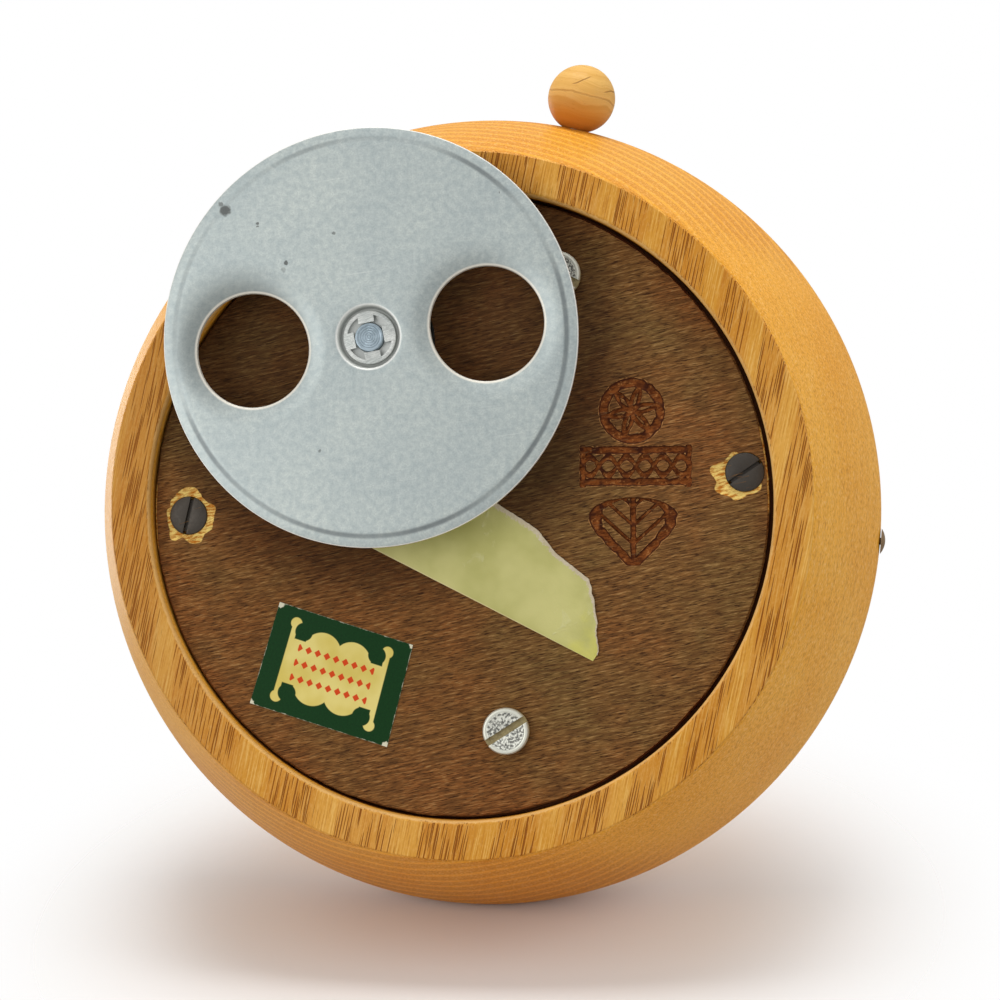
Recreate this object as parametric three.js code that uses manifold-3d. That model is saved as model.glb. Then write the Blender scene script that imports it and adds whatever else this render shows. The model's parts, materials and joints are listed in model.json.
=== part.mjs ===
// A round wooden music box that is wound by a sheet-metal disc under its foot.
// Millimetres, +Z up. The origin is on the body's axis, on the table that the disc stands on.
// The movement lies in a turned group: its x runs across the comb, its y along the pinned cylinder.

import * as THREE from 'three';
import { mergeVertices } from 'three/addons/utils/BufferGeometryUtils.js';
import Module from 'manifold-3d';

const wasm = await Module();
wasm.setup();

// Shared fits
const seat_gap = 0.3;
const running_gap = 0.1;
const side_gap = 0.4;
const cut_overrun = 2;
const weld_distance = 0.002;

// Turned wooden body
const rim_height = 5;
const rim_face_width = 6.4;
const rim_inner_round = 0.8;
const ledge_width = 8.4;
const wall_bulge = 10.9;
const flank_bulge = 0.4;
const equator_height = 33;
const roof_thickness = 7;
const ceiling_gap = 1.5;
const cavity_gap = 0.4;
const cavity_corner = 1;

// Plywood base plate, let into the rim
const base_recess_depth = 3;
const base_thickness = 4;
const base_side_gap = 0.7;
const base_shift = 0.35;
const shaft_hole_radius = 9.6;
const screw_hole_gap = 0.25;

// Dark wood screws that hold the base plate
const cover_head_radius = 3.15;
const cover_head_height = 2;
const cover_head_land = 0.3;
const cover_shank_radius = 1.3;
const cover_screw_length = 13;
const cover_screw_point = 3;
const cover_slot_width = 0.9;
const cover_slot_depth = 0.9;
const cover_place_shares = [[0.296, -2.07 / 360], [0.473, 173.9 / 360]];
const cover_slot_turn_shares = [103 / 360, 146 / 360];

// Bright screws that hold the movement
const movement_head_radius = 3.8;
const movement_head_height = 1.6;
const movement_head_edge = 0.3;
const movement_shank_radius = 2;
const movement_slot_width = 1.1;
const movement_slot_depth = 0.8;
const movement_slot_turn_shares = [141 / 360, 20 / 360, 70 / 360];

// Winding disc
const disc_radius = 34.3;
const disc_thickness = 0.8;
const disc_band_width = 1.8;
const disc_band_rise = 0.35;
const disc_step_slope = 0.5;
const finger_hole_radius = 9.33;
const finger_hole_reach = 19.44;
const finger_line_turn_share = -5.73 / 360;
const finger_lip_width = 0.9;
const finger_lip_height = 0.5;
const finger_edge_round = 0.45;
const cup_radius = 5.3;
const cup_depth = 1.6;
const cup_wall_slope = 0.7;

// Four-tongued grip washer on the shaft's end
const washer_thickness = 0.35;
const washer_ring_width = 0.7;
const washer_rim_gap = 0.25;
const washer_tongue_width = 2.5;
const washer_tongue_tilt_share = 12 / 360;
const washer_tongues = 4;

// Winding shaft
const shaft_x = 16.5;
const shaft_y = 25.3;
const movement_turn_share = 6.49 / 360;
const shaft_radius = 2.35;
const shaft_end_height = 0.55;
const shaft_end_chamfer = 0.2;
const shaft_collar_radius = 4.2;
const shaft_collar_height = 1.3;
const spring_core_radius = 3;
const upper_journal_radius = 2;
const shaft_top_length = 1;

// Bedplate of the movement
const bed_thickness = 2.2;
const bed_end_margin = 4.7;
const bed_side_margin = 3;
const bed_back_margin = 5;
const bed_barrel_margin = 1.7;
const ear_radius = 3.6;
const ear_arm_share = 0.93;
const boss_height = 3;
const screw_line_x = -12.19;
const far_screw_y = -35.9;
const near_screw_y = 39.1;
const side_screw_x = 32.9;
const side_screw_y = 6.3;
const ear_pocket_gap = 1;
const ear_pocket_height = 6;

// Spring barrel and mainspring
const barrel_radius = 10;
const barrel_wall = 0.7;
const barrel_flange_width = 2;
const barrel_flange_thickness = 1;
const barrel_top_gap = 0.5;
const spring_thickness = 0.35;
const spring_turns = 4;
const spring_end_gap = 1;

// Great wheel with upright teeth, and the ratchet on top of it
const crown_barrel_gap = 0.6;
const crown_tooth_length = 2;
const crown_teeth = 40;
const crown_thickness = 1.3;
const crown_window_radius = 1.7;
const crown_window_count = 5;
const crown_window_place_share = 0.6;
const ratchet_radius = 4.7;
const ratchet_tooth_depth = 0.9;
const ratchet_teeth = 12;
const ratchet_thickness = 1.2;
const click_pivot_place_share = 0.7;
const click_pivot_radius = 1.3;
const click_tip_width = 0.5;
const click_arm_width = 1;
const click_spread_share = 1 / 3;
const click_gap = 0.2;
const rivet_radius = 0.7;
const rivet_head_height = 0.5;
const clip_thickness = 0.5;
const clip_width = 1.6;
const clip_opening_share = 0.2;

// Teeth of every wheel, as shares of their pitch or module
const addendum_share = 0.85;
const dedendum_share = 1.1;
const tooth_root_share = 0.5;
const tooth_tip_share = 0.22;
const tooth_end_gap = 0.25;

// Pinned cylinder
const crown_pinion_teeth = 10;
const crown_pinion_width = 2.4;
const pinion_overreach = 0.2;
const cylinder_radius = 8;
const cylinder_end_margin = 0.85;
const cylinder_wall = 0.8;
const cylinder_end_wall = 1.2;
const cylinder_wheel_teeth = 40;
const gear_module = 0.48;
const wheel_thickness = 1.2;
const wheel_floor_gap = 0.7;
const arbor_radius = 1;
const arbor_overhang = 0.8;
const pin_height = 0.55;
const pin_width = 0.4;
const pin_root = 0.5;
const pins_per_tooth = 2;
const beats_to_next_tooth = 11;
const beats_to_next_pin = 17;

// Brackets that carry the cylinder
const bracket_thickness = 1.2;
const bracket_width = 17;
const bracket_top_radius = 2.9;
const bracket_foot_length = 5;
const bracket_foot_reach = 4;
const bracket_foot_height = 1.2;

// Steel comb with its bed, bar and screws
const comb_teeth = 28;
const comb_tooth_pitch = 1;
const comb_tip_gap = 0.2;
const comb_length = 17.2;
const comb_plate_length = 8;
const comb_plate_thickness = 1.2;
const comb_tooth_thickness = 0.6;
const comb_tooth_share = 0.68;
const comb_tip_share = 0.5;
const comb_bass_root = 0.4;
const comb_treble_root = 4.6;
const comb_weight_length = 2.4;
const comb_weight_drop = 1.7;
const comb_weighted_share = 0.36;
const comb_bed_length = 7;
const comb_bar_length = 5;
const comb_bar_thickness = 1.2;
const comb_screw_share = 0.35;

// Small slotted screws inside the movement
const small_head_radius = 1.7;
const small_head_height = 1;
const small_shank_radius = 0.9;
const small_screw_bite = 3;
const small_slot_width = 0.5;
const small_slot_depth = 0.45;
const small_head_edge = 0.15;

// Governor: pinion and worm wheel, worm and fly, and their frame
const governor_pinion_teeth = 10;
const governor_arbor_radius = 0.8;
const worm_wheel_teeth = 24;
const worm_module = 0.36;
const worm_wheel_thickness = 1.4;
const worm_radius = 1.5;
const worm_turns = 3;
const worm_root_share = 0.52;
const worm_tip_share = 0.24;
const worm_shaft_radius = 0.7;
const worm_pivot_radius = 0.5;
const fly_gap = 0.45;
const fly_reach = 4.5;
const fly_height = 4.2;
const fly_thickness = 0.3;
const fly_hub_radius = 1.4;
const frame_thickness = 1.2;
const frame_arm_width = 3;
const frame_fly_gap = 0.6;
const frame_foot_length = 5;
const frame_foot_rise = 1.7;
const frame_back_length = 3.3;

// Start and stop knob
const knob_turn_share = 103.4 / 360;
const ball_radius = 5.8;
const ball_wall_gap = 0.2;
const ball_bore_share = 0.9;
const ball_flat_share = 0.96;
const rod_radius = 1.5;
const rod_inner_reach = 28;
const knob_travel = 3.5;
const stop_ring_width = 1;
const stop_ring_depth = 0.8;
const wire_radius = 0.45;
const wire_bend = 1.2;
const wire_rest_gap = 1;
const wire_dip_share = 0.75;

// Domed tack in the wall
const tack_turn_share = -175.3 / 360;
const tack_head_radius = 2.2;
const tack_head_height = 0.75;
const tack_shank_radius = 0.6;
const tack_length = 8;
const tack_seat_gap = 0.15;

// Steps round each kind of curve
const body_steps = 44;
const disc_steps = 36;
const finger_steps = 24;
const hole_steps = 16;
const small_steps = 10;
const cylinder_steps = 24;
const arc_steps = 4;
const shoulder_steps = 6;
const spring_steps = 12;
const worm_steps = 10;

// Turns given as shares of a full circle
const full_turn = 2 * Math.PI;
const turned = (share) => share * full_turn;
const movement_turn = turned(movement_turn_share);
const knob_turn = turned(knob_turn_share);
const tack_turn = turned(tack_turn_share);

// Plan sizes worked out from the movement outwards
const crown_radius = barrel_radius + crown_barrel_gap + crown_tooth_length;
const shaft_reach = Math.hypot(shaft_x, shaft_y);
const cavity_radius = shaft_reach + crown_radius + cavity_gap;
const recess_radius = cavity_radius + ledge_width;
const rim_outer_radius = recess_radius + rim_face_width;
const equator_radius = rim_outer_radius + wall_bulge;
const base_radius = recess_radius - base_side_gap;

// Gear sizes
const crown_mean_radius = crown_radius - crown_tooth_length / 2;
const crown_module = 2 * crown_mean_radius / crown_teeth;
const crown_pinion = gearSizes(crown_pinion_teeth, crown_module);
const cylinder_wheel = gearSizes(cylinder_wheel_teeth, gear_module);
const governor_pinion = gearSizes(governor_pinion_teeth, gear_module);
const worm_wheel = gearSizes(worm_wheel_teeth, worm_module);
const worm_lead = Math.PI * worm_module;
const worm_tip_radius = worm_radius + addendum_share * worm_module;
const worm_core_radius = worm_radius - dedendum_share * worm_module;

// Heights above the table
const base_low = rim_height + base_recess_depth;
const base_high = base_low + base_thickness;
const ledge_z = base_high + seat_gap;
const bed_low = base_high + seat_gap;
const bed_high = bed_low + bed_thickness;
const floor_z = bed_high + seat_gap;
const axis_z = bed_high + cylinder_wheel.tip + wheel_floor_gap;
const comb_bar_low = axis_z - comb_tooth_thickness / 2 + comb_plate_thickness + seat_gap;
const comb_bar_high = comb_bar_low + comb_bar_thickness;
const crown_tip_z = axis_z + crown_pinion.root + tooth_end_gap;
const crown_low = axis_z + crown_pinion.tip + tooth_end_gap;
const crown_high = crown_low + crown_thickness;
const barrel_high = crown_low - barrel_top_gap;
const ratchet_low = crown_high + seat_gap;
const ratchet_high = ratchet_low + ratchet_thickness;
const clip_low = ratchet_high + seat_gap;
const shaft_high = clip_low + clip_thickness + shaft_top_length;
const fly_low = axis_z + worm_wheel.tip + fly_gap;
const fly_high = fly_low + fly_height;
const frame_arm_low = fly_high + side_gap;
const frame_high = frame_arm_low + frame_thickness;
const rod_z = frame_high + fly_gap + wire_radius;
const ceiling_z = rod_z + rod_radius + ceiling_gap;
const top_z = ceiling_z + roof_thickness;
const equator_z = rim_height + equator_height;
const shoulder_radius = top_z - equator_z;

// Places along the cylinder, measured from the shaft down the row of pieces
const comb_width = comb_teeth * comb_tooth_pitch;
const cylinder_length = comb_width + 2 * cylinder_end_margin;
const crown_pinion_y = shaft_y - crown_radius - pinion_overreach;
const near_bracket_y = crown_pinion_y - side_gap - bracket_thickness;
const cylinder_wheel_y = near_bracket_y - side_gap - wheel_thickness;
const cylinder_y = cylinder_wheel_y - seat_gap - cylinder_length;
const far_bracket_y = cylinder_y - side_gap - bracket_thickness;
const worm_wheel_y = near_bracket_y + bracket_thickness + side_gap;
const worm_y = worm_wheel_y + worm_wheel_thickness / 2;
const governor_x = shaft_x - cylinder_wheel.pitch - governor_pinion.pitch;
const worm_x = governor_x - worm_wheel.pitch - worm_radius;
const comb_tip_x = shaft_x - cylinder_radius - pin_height - comb_tip_gap;
const comb_back_x = comb_tip_x - comb_length;
const comb_y = cylinder_y + cylinder_end_margin;
const frame_x = worm_x - fly_reach - frame_fly_gap - frame_thickness;

const movement_screw_places = [
    [screw_line_x, far_screw_y],
    [screw_line_x, near_screw_y],
    [side_screw_x, side_screw_y],
];

function gearSizes(teeth, module_size) {
    const pitch = teeth * module_size / 2;
    return {
        teeth,
        pitch,
        tip: pitch + addendum_share * module_size,
        root: pitch - dedendum_share * module_size,
    };
}

// Turns a closed three.js geometry into a solid that can be cut and joined
function solid(source) {
    const bare = source.index ? source.toNonIndexed() : source;
    bare.deleteAttribute('normal');
    bare.deleteAttribute('uv');
    const merged = mergeVertices(bare);
    const places = merged.getAttribute('position').array;
    const corners = merged.getIndex().array;
    const kept = [];
    let volume = 0;
    const a = new THREE.Vector3();
    const b = new THREE.Vector3();
    const c = new THREE.Vector3();
    for (let i = 0; i < corners.length; i += 3) {
        const [p, q, r] = corners.slice(i, i + 3);
        if (p === q || q === r || r === p) continue;
        kept.push(p, q, r);
        a.fromArray(places, 3 * p);
        b.fromArray(places, 3 * q);
        c.fromArray(places, 3 * r);
        volume += a.dot(b.cross(c));
    }
    if (volume < 0) kept.reverse();
    const mesh = new wasm.Mesh({
        numProp: 3,
        vertProperties: Float32Array.from(places),
        triVerts: Uint32Array.from(kept),
    });
    return new wasm.Manifold(mesh);
}

// Corners that a cut leaves nearer to each other than the weld distance become one
function geometryOf(body) {
    const mesh = body.asOriginal().simplify(weld_distance).getMesh();
    const geometry = new THREE.BufferGeometry();
    geometry.setAttribute('position', new THREE.BufferAttribute(mesh.vertProperties, 3));
    geometry.setIndex(new THREE.BufferAttribute(mesh.triVerts, 1));
    geometry.computeVertexNormals();
    return geometry;
}

const joined = (bodies) => bodies.reduce((whole, body) => whole.add(body));
const cutBy = (body, tools) => tools.reduce((whole, tool) => whole.subtract(tool), body);

// A body turned about Z from a profile of [radius, height] points
function turnedGeometry(profile, steps) {
    const points = profile.map(([radius, height]) => new THREE.Vector2(radius, height));
    return new THREE.LatheGeometry(points, steps).rotateX(Math.PI / 2);
}

const turnedBody = (profile, steps) => solid(turnedGeometry(profile, steps));

function rod(radius, low, high, steps) {
    const height = high - low;
    const geometry = new THREE.CylinderGeometry(radius, radius, height, steps);
    return solid(geometry.rotateX(Math.PI / 2).translate(0, 0, low + height / 2));
}

function tube(outer, inner, low, high, steps) {
    const profile = [[inner, low], [outer, low], [outer, high], [inner, high], [inner, low]];
    return turnedBody(profile, steps);
}

function block([x0, x1], [y0, y1], [z0, z1]) {
    const geometry = new THREE.BoxGeometry(x1 - x0, y1 - y0, z1 - z0);
    return solid(geometry.translate((x0 + x1) / 2, (y0 + y1) / 2, (z0 + z1) / 2));
}

function slab(shape, low, thickness) {
    const geometry = new THREE.ExtrudeGeometry(shape, { depth: thickness, bevelEnabled: false });
    return solid(geometry.translate(0, 0, low));
}

const outline = (points) => new THREE.Shape(points.map(([x, y]) => new THREE.Vector2(x, y)));

// Moves and turns a solid; alongY and alongX lay a body made about Z on another axis
const moved = (body, x, y, z) => body.translate([x, y, z]);
const degrees = (angle) => THREE.MathUtils.radToDeg(angle);
const spun = (body, angle) => body.rotate([0, 0, degrees(angle)]);
const alongY = (body) => body.rotate([-90, 0, 0]);
const alongX = (body) => body.rotate([0, 90, 0]);
const overturned = (body) => body.rotate([180, 0, 0]);

// Points on an arc about [cx, cy], from one angle to another
function arcPoints([cx, cy], radius, from, to, steps) {
    const points = [];
    for (let i = 0; i <= steps; i += 1) {
        const angle = from + (to - from) * i / steps;
        points.push([cx + radius * Math.cos(angle), cy + radius * Math.sin(angle)]);
    }
    return points;
}

// Outline of a spur wheel; phase is a share of one tooth's pitch
function gearOutline({ teeth, root, tip }, phase_share) {
    const points = [];
    const pitch_angle = full_turn / teeth;
    for (let i = 0; i < teeth; i += 1) {
        const middle = (i + phase_share) * pitch_angle;
        const corners = [
            [root, -tooth_root_share / 2],
            [tip, -tooth_tip_share / 2],
            [tip, tooth_tip_share / 2],
            [root, tooth_root_share / 2],
        ];
        for (const [radius, share] of corners) {
            const angle = middle + share * pitch_angle;
            points.push([radius * Math.cos(angle), radius * Math.sin(angle)]);
        }
    }
    return outline(points);
}

// A slotted screw that points up, with the face of its head at height zero
function slottedScrew({ profile, slot_width, slot_depth, slot_turn, steps }) {
    const blank = turnedBody(profile, steps);
    const reach = Math.max(...profile.map(([radius]) => radius)) + cut_overrun;
    const slot = block([-reach, reach], [-slot_width / 2, slot_width / 2], [-cut_overrun, slot_depth]);
    return blank.subtract(spun(slot, slot_turn));
}

function smallScrew(length, slot_turn) {
    const end = small_head_height + length;
    const profile = [
        [0, 0],
        [small_head_radius - small_head_edge, 0],
        [small_head_radius, small_head_edge],
        [small_head_radius, small_head_height],
        [small_shank_radius, small_head_height],
        [small_shank_radius, end],
        [0, end],
    ];
    const slot_width = small_slot_width;
    const slot_depth = small_slot_depth;
    return slottedScrew({ profile, slot_width, slot_depth, slot_turn, steps: small_steps });
}

// A small screw driven downwards, with the seat under its head at height seat_z
function screwDown(x, y, seat_z, bite, slot_turn) {
    const screw = overturned(smallScrew(bite, slot_turn));
    return moved(screw, x, y, seat_z + seat_gap + small_head_height);
}

function screwHole(x, y, low, high) {
    return moved(rod(small_shank_radius + running_gap, low, high, small_steps), x, y, 0);
}

// Turned wooden body

function coverScrewPlaces() {
    return cover_place_shares.map(([ledge_share, turn_share]) => {
        const radius = cavity_radius + ledge_share * ledge_width;
        const angle = turned(turn_share);
        return [radius * Math.cos(angle), radius * Math.sin(angle)];
    });
}

// The flank is nearly straight from the rim to where it meets the round shoulder, below the equator
function flankPlan() {
    const across = equator_radius - shoulder_radius - rim_outer_radius;
    const rise = equator_z - rim_height;
    const reach = Math.hypot(across, rise);
    const lean = Math.atan2(rise, across) - Math.asin(shoulder_radius / reach);
    const length = Math.sqrt(reach ** 2 - shoulder_radius ** 2);
    return { lean, length };
}

function flankPoint(share) {
    const { lean, length } = flankPlan();
    const out = 4 * flank_bulge * share * (1 - share);
    return [
        rim_outer_radius + share * length * Math.cos(lean) + out * Math.sin(lean),
        rim_height + share * length * Math.sin(lean) - out * Math.cos(lean),
    ];
}

function shoulderRadiusAt(z) {
    return equator_radius - shoulder_radius + Math.sqrt(shoulder_radius ** 2 - (z - equator_z) ** 2);
}

function bodyShell() {
    const quarter = Math.PI / 2;
    const shoulder_centre = [equator_radius - shoulder_radius, equator_z];
    const shoulder_end = flankPlan().lean - quarter;
    const edge_centre = [recess_radius + rim_inner_round, rim_height + rim_inner_round];
    const profile = [
        [0, top_z],
        ...arcPoints(shoulder_centre, shoulder_radius, quarter, shoulder_end, shoulder_steps),
        flankPoint(1 / 2),
        flankPoint(0),
        ...arcPoints(edge_centre, rim_inner_round, -quarter, -2 * quarter, 2),
        [recess_radius, ledge_z],
        [cavity_radius, ledge_z],
        [cavity_radius, ceiling_z - cavity_corner],
        [cavity_radius - cavity_corner, ceiling_z],
        [0, ceiling_z],
    ];
    const shell = turnedBody(profile, body_steps);
    const pilots = coverScrewPlaces().map(([x, y]) => {
        const radius = cover_shank_radius + screw_hole_gap;
        const high = base_low + cover_screw_length + seat_gap;
        return moved(rod(radius, base_high, high, small_steps), x, y, 0);
    });
    const pocket_radius = ear_radius + ear_pocket_gap;
    const pocket = rod(pocket_radius, base_high, bed_high + ear_pocket_height, hole_steps);
    const near_pocket = spun(moved(pocket, screw_line_x, near_screw_y, 0), movement_turn);
    const rod_reach = equator_radius + cut_overrun;
    const rod_bore = alongX(rod(rod_radius + running_gap, cavity_radius / 2, rod_reach, hole_steps));
    const rod_hole = spun(moved(rod_bore, 0, 0, rod_z), knob_turn);
    const tack_low = equator_radius - tack_length;
    const tack_bore = alongX(rod(tack_shank_radius + running_gap, tack_low, rod_reach, small_steps));
    const tack_hole = spun(moved(tack_bore, 0, 0, equator_z), tack_turn);
    return cutBy(shell, [...pilots, near_pocket, rod_hole, tack_hole]);
}

function domedTack() {
    const seat = tack_seat_gap;
    const high = seat + tack_head_height;
    const dome = (tack_head_radius ** 2 + tack_head_height ** 2) / (2 * tack_head_height);
    const sweep = Math.asin(tack_head_radius / dome);
    const cap = arcPoints([0, high - dome], dome, Math.PI / 2 - sweep, Math.PI / 2, arc_steps);
    cap[arc_steps][0] = 0;
    const low = seat_gap - tack_length;
    const profile = [[0, low], [tack_shank_radius, low], [tack_shank_radius, seat], ...cap];
    const tack = alongX(turnedBody(profile, hole_steps));
    return spun(moved(tack, equator_radius, 0, equator_z), tack_turn);
}

// Plywood base plate and its screws

function countersink([x, y]) {
    const wide = cover_head_radius + screw_hole_gap;
    const narrow = cover_shank_radius + screw_hole_gap;
    const land = base_low + cover_head_land + seat_gap;
    const neck = base_low + cover_head_height + seat_gap;
    const profile = [
        [0, base_low - cut_overrun],
        [wide, base_low - cut_overrun],
        [wide, land],
        [narrow, neck],
        [narrow, base_high + cut_overrun],
        [0, base_high + cut_overrun],
    ];
    return moved(turnedBody(profile, hole_steps), x, y, 0);
}

function basePlate() {
    const plate = moved(rod(base_radius, base_low, base_high, body_steps), base_shift, base_shift, 0);
    const low = base_low - cut_overrun;
    const high = base_high + cut_overrun;
    const shaft_hole = moved(rod(shaft_hole_radius, low, high, hole_steps), shaft_x, shaft_y, 0);
    const bolt_hole = rod(movement_shank_radius + screw_hole_gap, low, high, hole_steps);
    const bolt_holes = movement_screw_places.map(([x, y]) => moved(bolt_hole, x, y, 0));
    const turned_holes = [shaft_hole, ...bolt_holes].map((hole) => spun(hole, movement_turn));
    return cutBy(plate, [...turned_holes, ...coverScrewPlaces().map(countersink)]);
}

function coverScrew(index) {
    const end = cover_screw_length;
    const profile = [
        [0, 0],
        [cover_head_radius, 0],
        [cover_head_radius, cover_head_land],
        [cover_shank_radius, cover_head_height],
        [cover_shank_radius, end - cover_screw_point],
        [0, end],
    ];
    const screw = slottedScrew({
        profile,
        slot_width: cover_slot_width,
        slot_depth: cover_slot_depth,
        slot_turn: turned(cover_slot_turn_shares[index]),
        steps: hole_steps,
    });
    const [x, y] = coverScrewPlaces()[index];
    return moved(screw, x, y, base_low);
}

function movementScrew(index) {
    const low = base_low - seat_gap - movement_head_height;
    const end = bed_high + boss_height - seat_gap - low;
    const profile = [
        [0, 0],
        [movement_head_radius - movement_head_edge, 0],
        [movement_head_radius, movement_head_edge],
        [movement_head_radius, movement_head_height],
        [movement_shank_radius, movement_head_height],
        [movement_shank_radius, end],
        [0, end],
    ];
    const screw = slottedScrew({
        profile,
        slot_width: movement_slot_width,
        slot_depth: movement_slot_depth,
        slot_turn: turned(movement_slot_turn_shares[index]),
        steps: hole_steps,
    });
    const [x, y] = movement_screw_places[index];
    return moved(screw, x, y, low);
}

// Winding disc with its finger holes and its hub cup. Its own axis is the shaft's

function windingDisc() {
    const hole = shaft_radius + running_gap;
    const band = disc_radius - disc_band_width;
    const flat = band - disc_step_slope;
    const band_high = disc_band_rise + disc_thickness;
    const cup_high = cup_depth + disc_thickness;
    const profile = [
        [hole, cup_depth],
        [cup_radius - cup_wall_slope, cup_depth],
        [cup_radius, 0],
        [flat, 0],
        [band, disc_band_rise],
        [disc_radius, disc_band_rise],
        [disc_radius, band_high],
        [band, band_high],
        [flat, disc_thickness],
        [cup_radius + cup_wall_slope, disc_thickness],
        [cup_radius, cup_high],
        [hole, cup_high],
        [hole, cup_depth],
    ];
    const plate = turnedBody(profile, disc_steps);
    const lip_low = disc_thickness / 2;
    const lip_high = disc_thickness + finger_lip_height;
    const lip = rod(finger_hole_radius + finger_lip_width, lip_low, lip_high, finger_steps);
    const bore = turnedBody([
        [0, -cut_overrun],
        [finger_hole_radius + finger_edge_round, -cut_overrun],
        [finger_hole_radius + finger_edge_round, 0],
        [finger_hole_radius, finger_edge_round],
        [finger_hole_radius, lip_high + cut_overrun],
        [0, lip_high + cut_overrun],
    ], finger_steps);
    const line = turned(finger_line_turn_share);
    const sides = [line, line + Math.PI];
    const at_hole = (body, angle) => spun(moved(body, finger_hole_reach, 0, 0), angle);
    const lipped = joined([plate, ...sides.map((angle) => at_hole(lip, angle))]);
    return cutBy(lipped, sides.map((angle) => at_hole(bore, angle)));
}

function gripWasher() {
    const inner = shaft_radius + running_gap;
    const outer = cup_radius - cup_wall_slope - washer_rim_gap;
    const high = cup_depth - seat_gap;
    const low = high - washer_thickness;
    const ring = tube(outer, outer - washer_ring_width, low, high, hole_steps);
    const length = outer - washer_ring_width / 2 - inner;
    const half = washer_tongue_width / 2;
    const tongue = block([-length, 0], [-half, half], [-washer_thickness, 0]);
    const tilted = tongue.rotate([0, -degrees(turned(washer_tongue_tilt_share)), 0]);
    const placed = moved(tilted, outer - washer_ring_width / 2, 0, high);
    const tongues = [];
    for (let i = 0; i < washer_tongues; i += 1) {
        tongues.push(spun(placed, (i + 1 / 4) * full_turn / washer_tongues));
    }
    const bore = rod(inner, -cut_overrun, high + cut_overrun, hole_steps);
    return joined([ring, ...tongues]).subtract(bore);
}

function windingShaft() {
    const collar_high = base_high;
    const collar_low = collar_high - shaft_collar_height;
    const core_low = floor_z + seat_gap;
    const core_high = barrel_high - barrel_wall - seat_gap;
    return turnedGeometry([
        [0, shaft_end_height],
        [shaft_radius - shaft_end_chamfer, shaft_end_height],
        [shaft_radius, shaft_end_height + shaft_end_chamfer],
        [shaft_radius, collar_low],
        [shaft_collar_radius, collar_low],
        [shaft_collar_radius, collar_high],
        [shaft_radius, collar_high],
        [shaft_radius, core_low],
        [spring_core_radius, core_low],
        [spring_core_radius, core_high],
        [upper_journal_radius, core_high],
        [upper_journal_radius, shaft_high],
        [0, shaft_high],
    ], hole_steps);
}

function ratchetWheel() {
    const points = [];
    for (let i = 0; i < ratchet_teeth; i += 1) {
        const angle = i * full_turn / ratchet_teeth;
        for (const radius of [ratchet_radius, ratchet_radius - ratchet_tooth_depth]) {
            points.push([radius * Math.cos(angle), radius * Math.sin(angle)]);
        }
    }
    const bore = rod(upper_journal_radius + running_gap, 0, shaft_high, hole_steps);
    return slab(outline(points), ratchet_low, ratchet_thickness).subtract(bore);
}

function shaftClip() {
    const inner = upper_journal_radius + running_gap;
    const outer = inner + clip_width;
    const ring = tube(outer, inner, clip_low, clip_low + clip_thickness, hole_steps);
    const half = clip_opening_share * outer;
    return ring.subtract(block([0, outer + cut_overrun], [-half, half], [0, shaft_high]));
}

// Great wheel: a flat wheel whose teeth point down at the cylinder's pinion

function crownTooth() {
    const pitch = full_turn * crown_mean_radius / crown_teeth;
    const root = tooth_root_share * pitch / 2;
    const tip = tooth_tip_share * pitch / 2;
    const depth = crown_low - crown_tip_z;
    const overlap = crown_thickness / 2;
    const shape = outline([[-root, overlap], [-root, 0], [-tip, -depth], [tip, -depth], [root, 0],
        [root, overlap]]);
    const inner = crown_radius - crown_tooth_length;
    const tooth = slab(shape, inner, crown_tooth_length - running_gap);
    return moved(alongY(tooth).rotate([0, 180, 0]), 0, 0, crown_low);
}

function greatWheel() {
    const plate = rod(crown_radius, crown_low, crown_high, disc_steps);
    const tooth = crownTooth();
    const teeth = [];
    for (let i = 0; i < crown_teeth; i += 1) {
        teeth.push(spun(tooth, i * full_turn / crown_teeth));
    }
    const toothed = joined([plate, ...teeth]);
    const window_low = crown_low - running_gap;
    const window_hole = rod(crown_window_radius, window_low, crown_high + cut_overrun, small_steps);
    const window_place = moved(window_hole, crown_window_place_share * crown_radius, 0, 0);
    const windows = [];
    for (let i = 1; i <= crown_window_count; i += 1) {
        windows.push(spun(window_place, i * full_turn / (crown_window_count + 1)));
    }
    const bore = rod(upper_journal_radius + running_gap, 0, shaft_high, hole_steps);
    const rivet_bore = rod(rivet_radius + running_gap, 0, shaft_high, small_steps);
    const pivot = moved(rivet_bore, click_pivot_place_share * crown_radius, 0, 0);
    return cutBy(toothed, [...windows, bore, pivot]);
}

// The click hooks behind a ratchet tooth, so that the tooth pulls on it without lifting it
function clickSpring() {
    const pivot_x = click_pivot_place_share * crown_radius;
    const angle = 2 * full_turn / ratchet_teeth + click_gap / ratchet_radius;
    const far_angle = angle + click_tip_width / ratchet_radius;
    const tip_radius = ratchet_radius - ratchet_tooth_depth / 2;
    const at = (radius, turn) => [radius * Math.cos(turn), radius * Math.sin(turn)];
    const left = Math.PI * (1 - click_spread_share);
    const right = full_turn + Math.PI * click_spread_share;
    const body = slab(outline([
        ...arcPoints([pivot_x, 0], click_pivot_radius, left, right, 2 * arc_steps),
        at(ratchet_radius + click_arm_width, far_angle),
        at(tip_radius, far_angle),
        at(tip_radius, angle),
        at(ratchet_radius + click_gap, angle),
    ]), ratchet_low, ratchet_thickness / 2);
    const bore = moved(rod(rivet_radius + running_gap, 0, shaft_high, small_steps), pivot_x, 0, 0);
    return body.subtract(bore);
}

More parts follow.
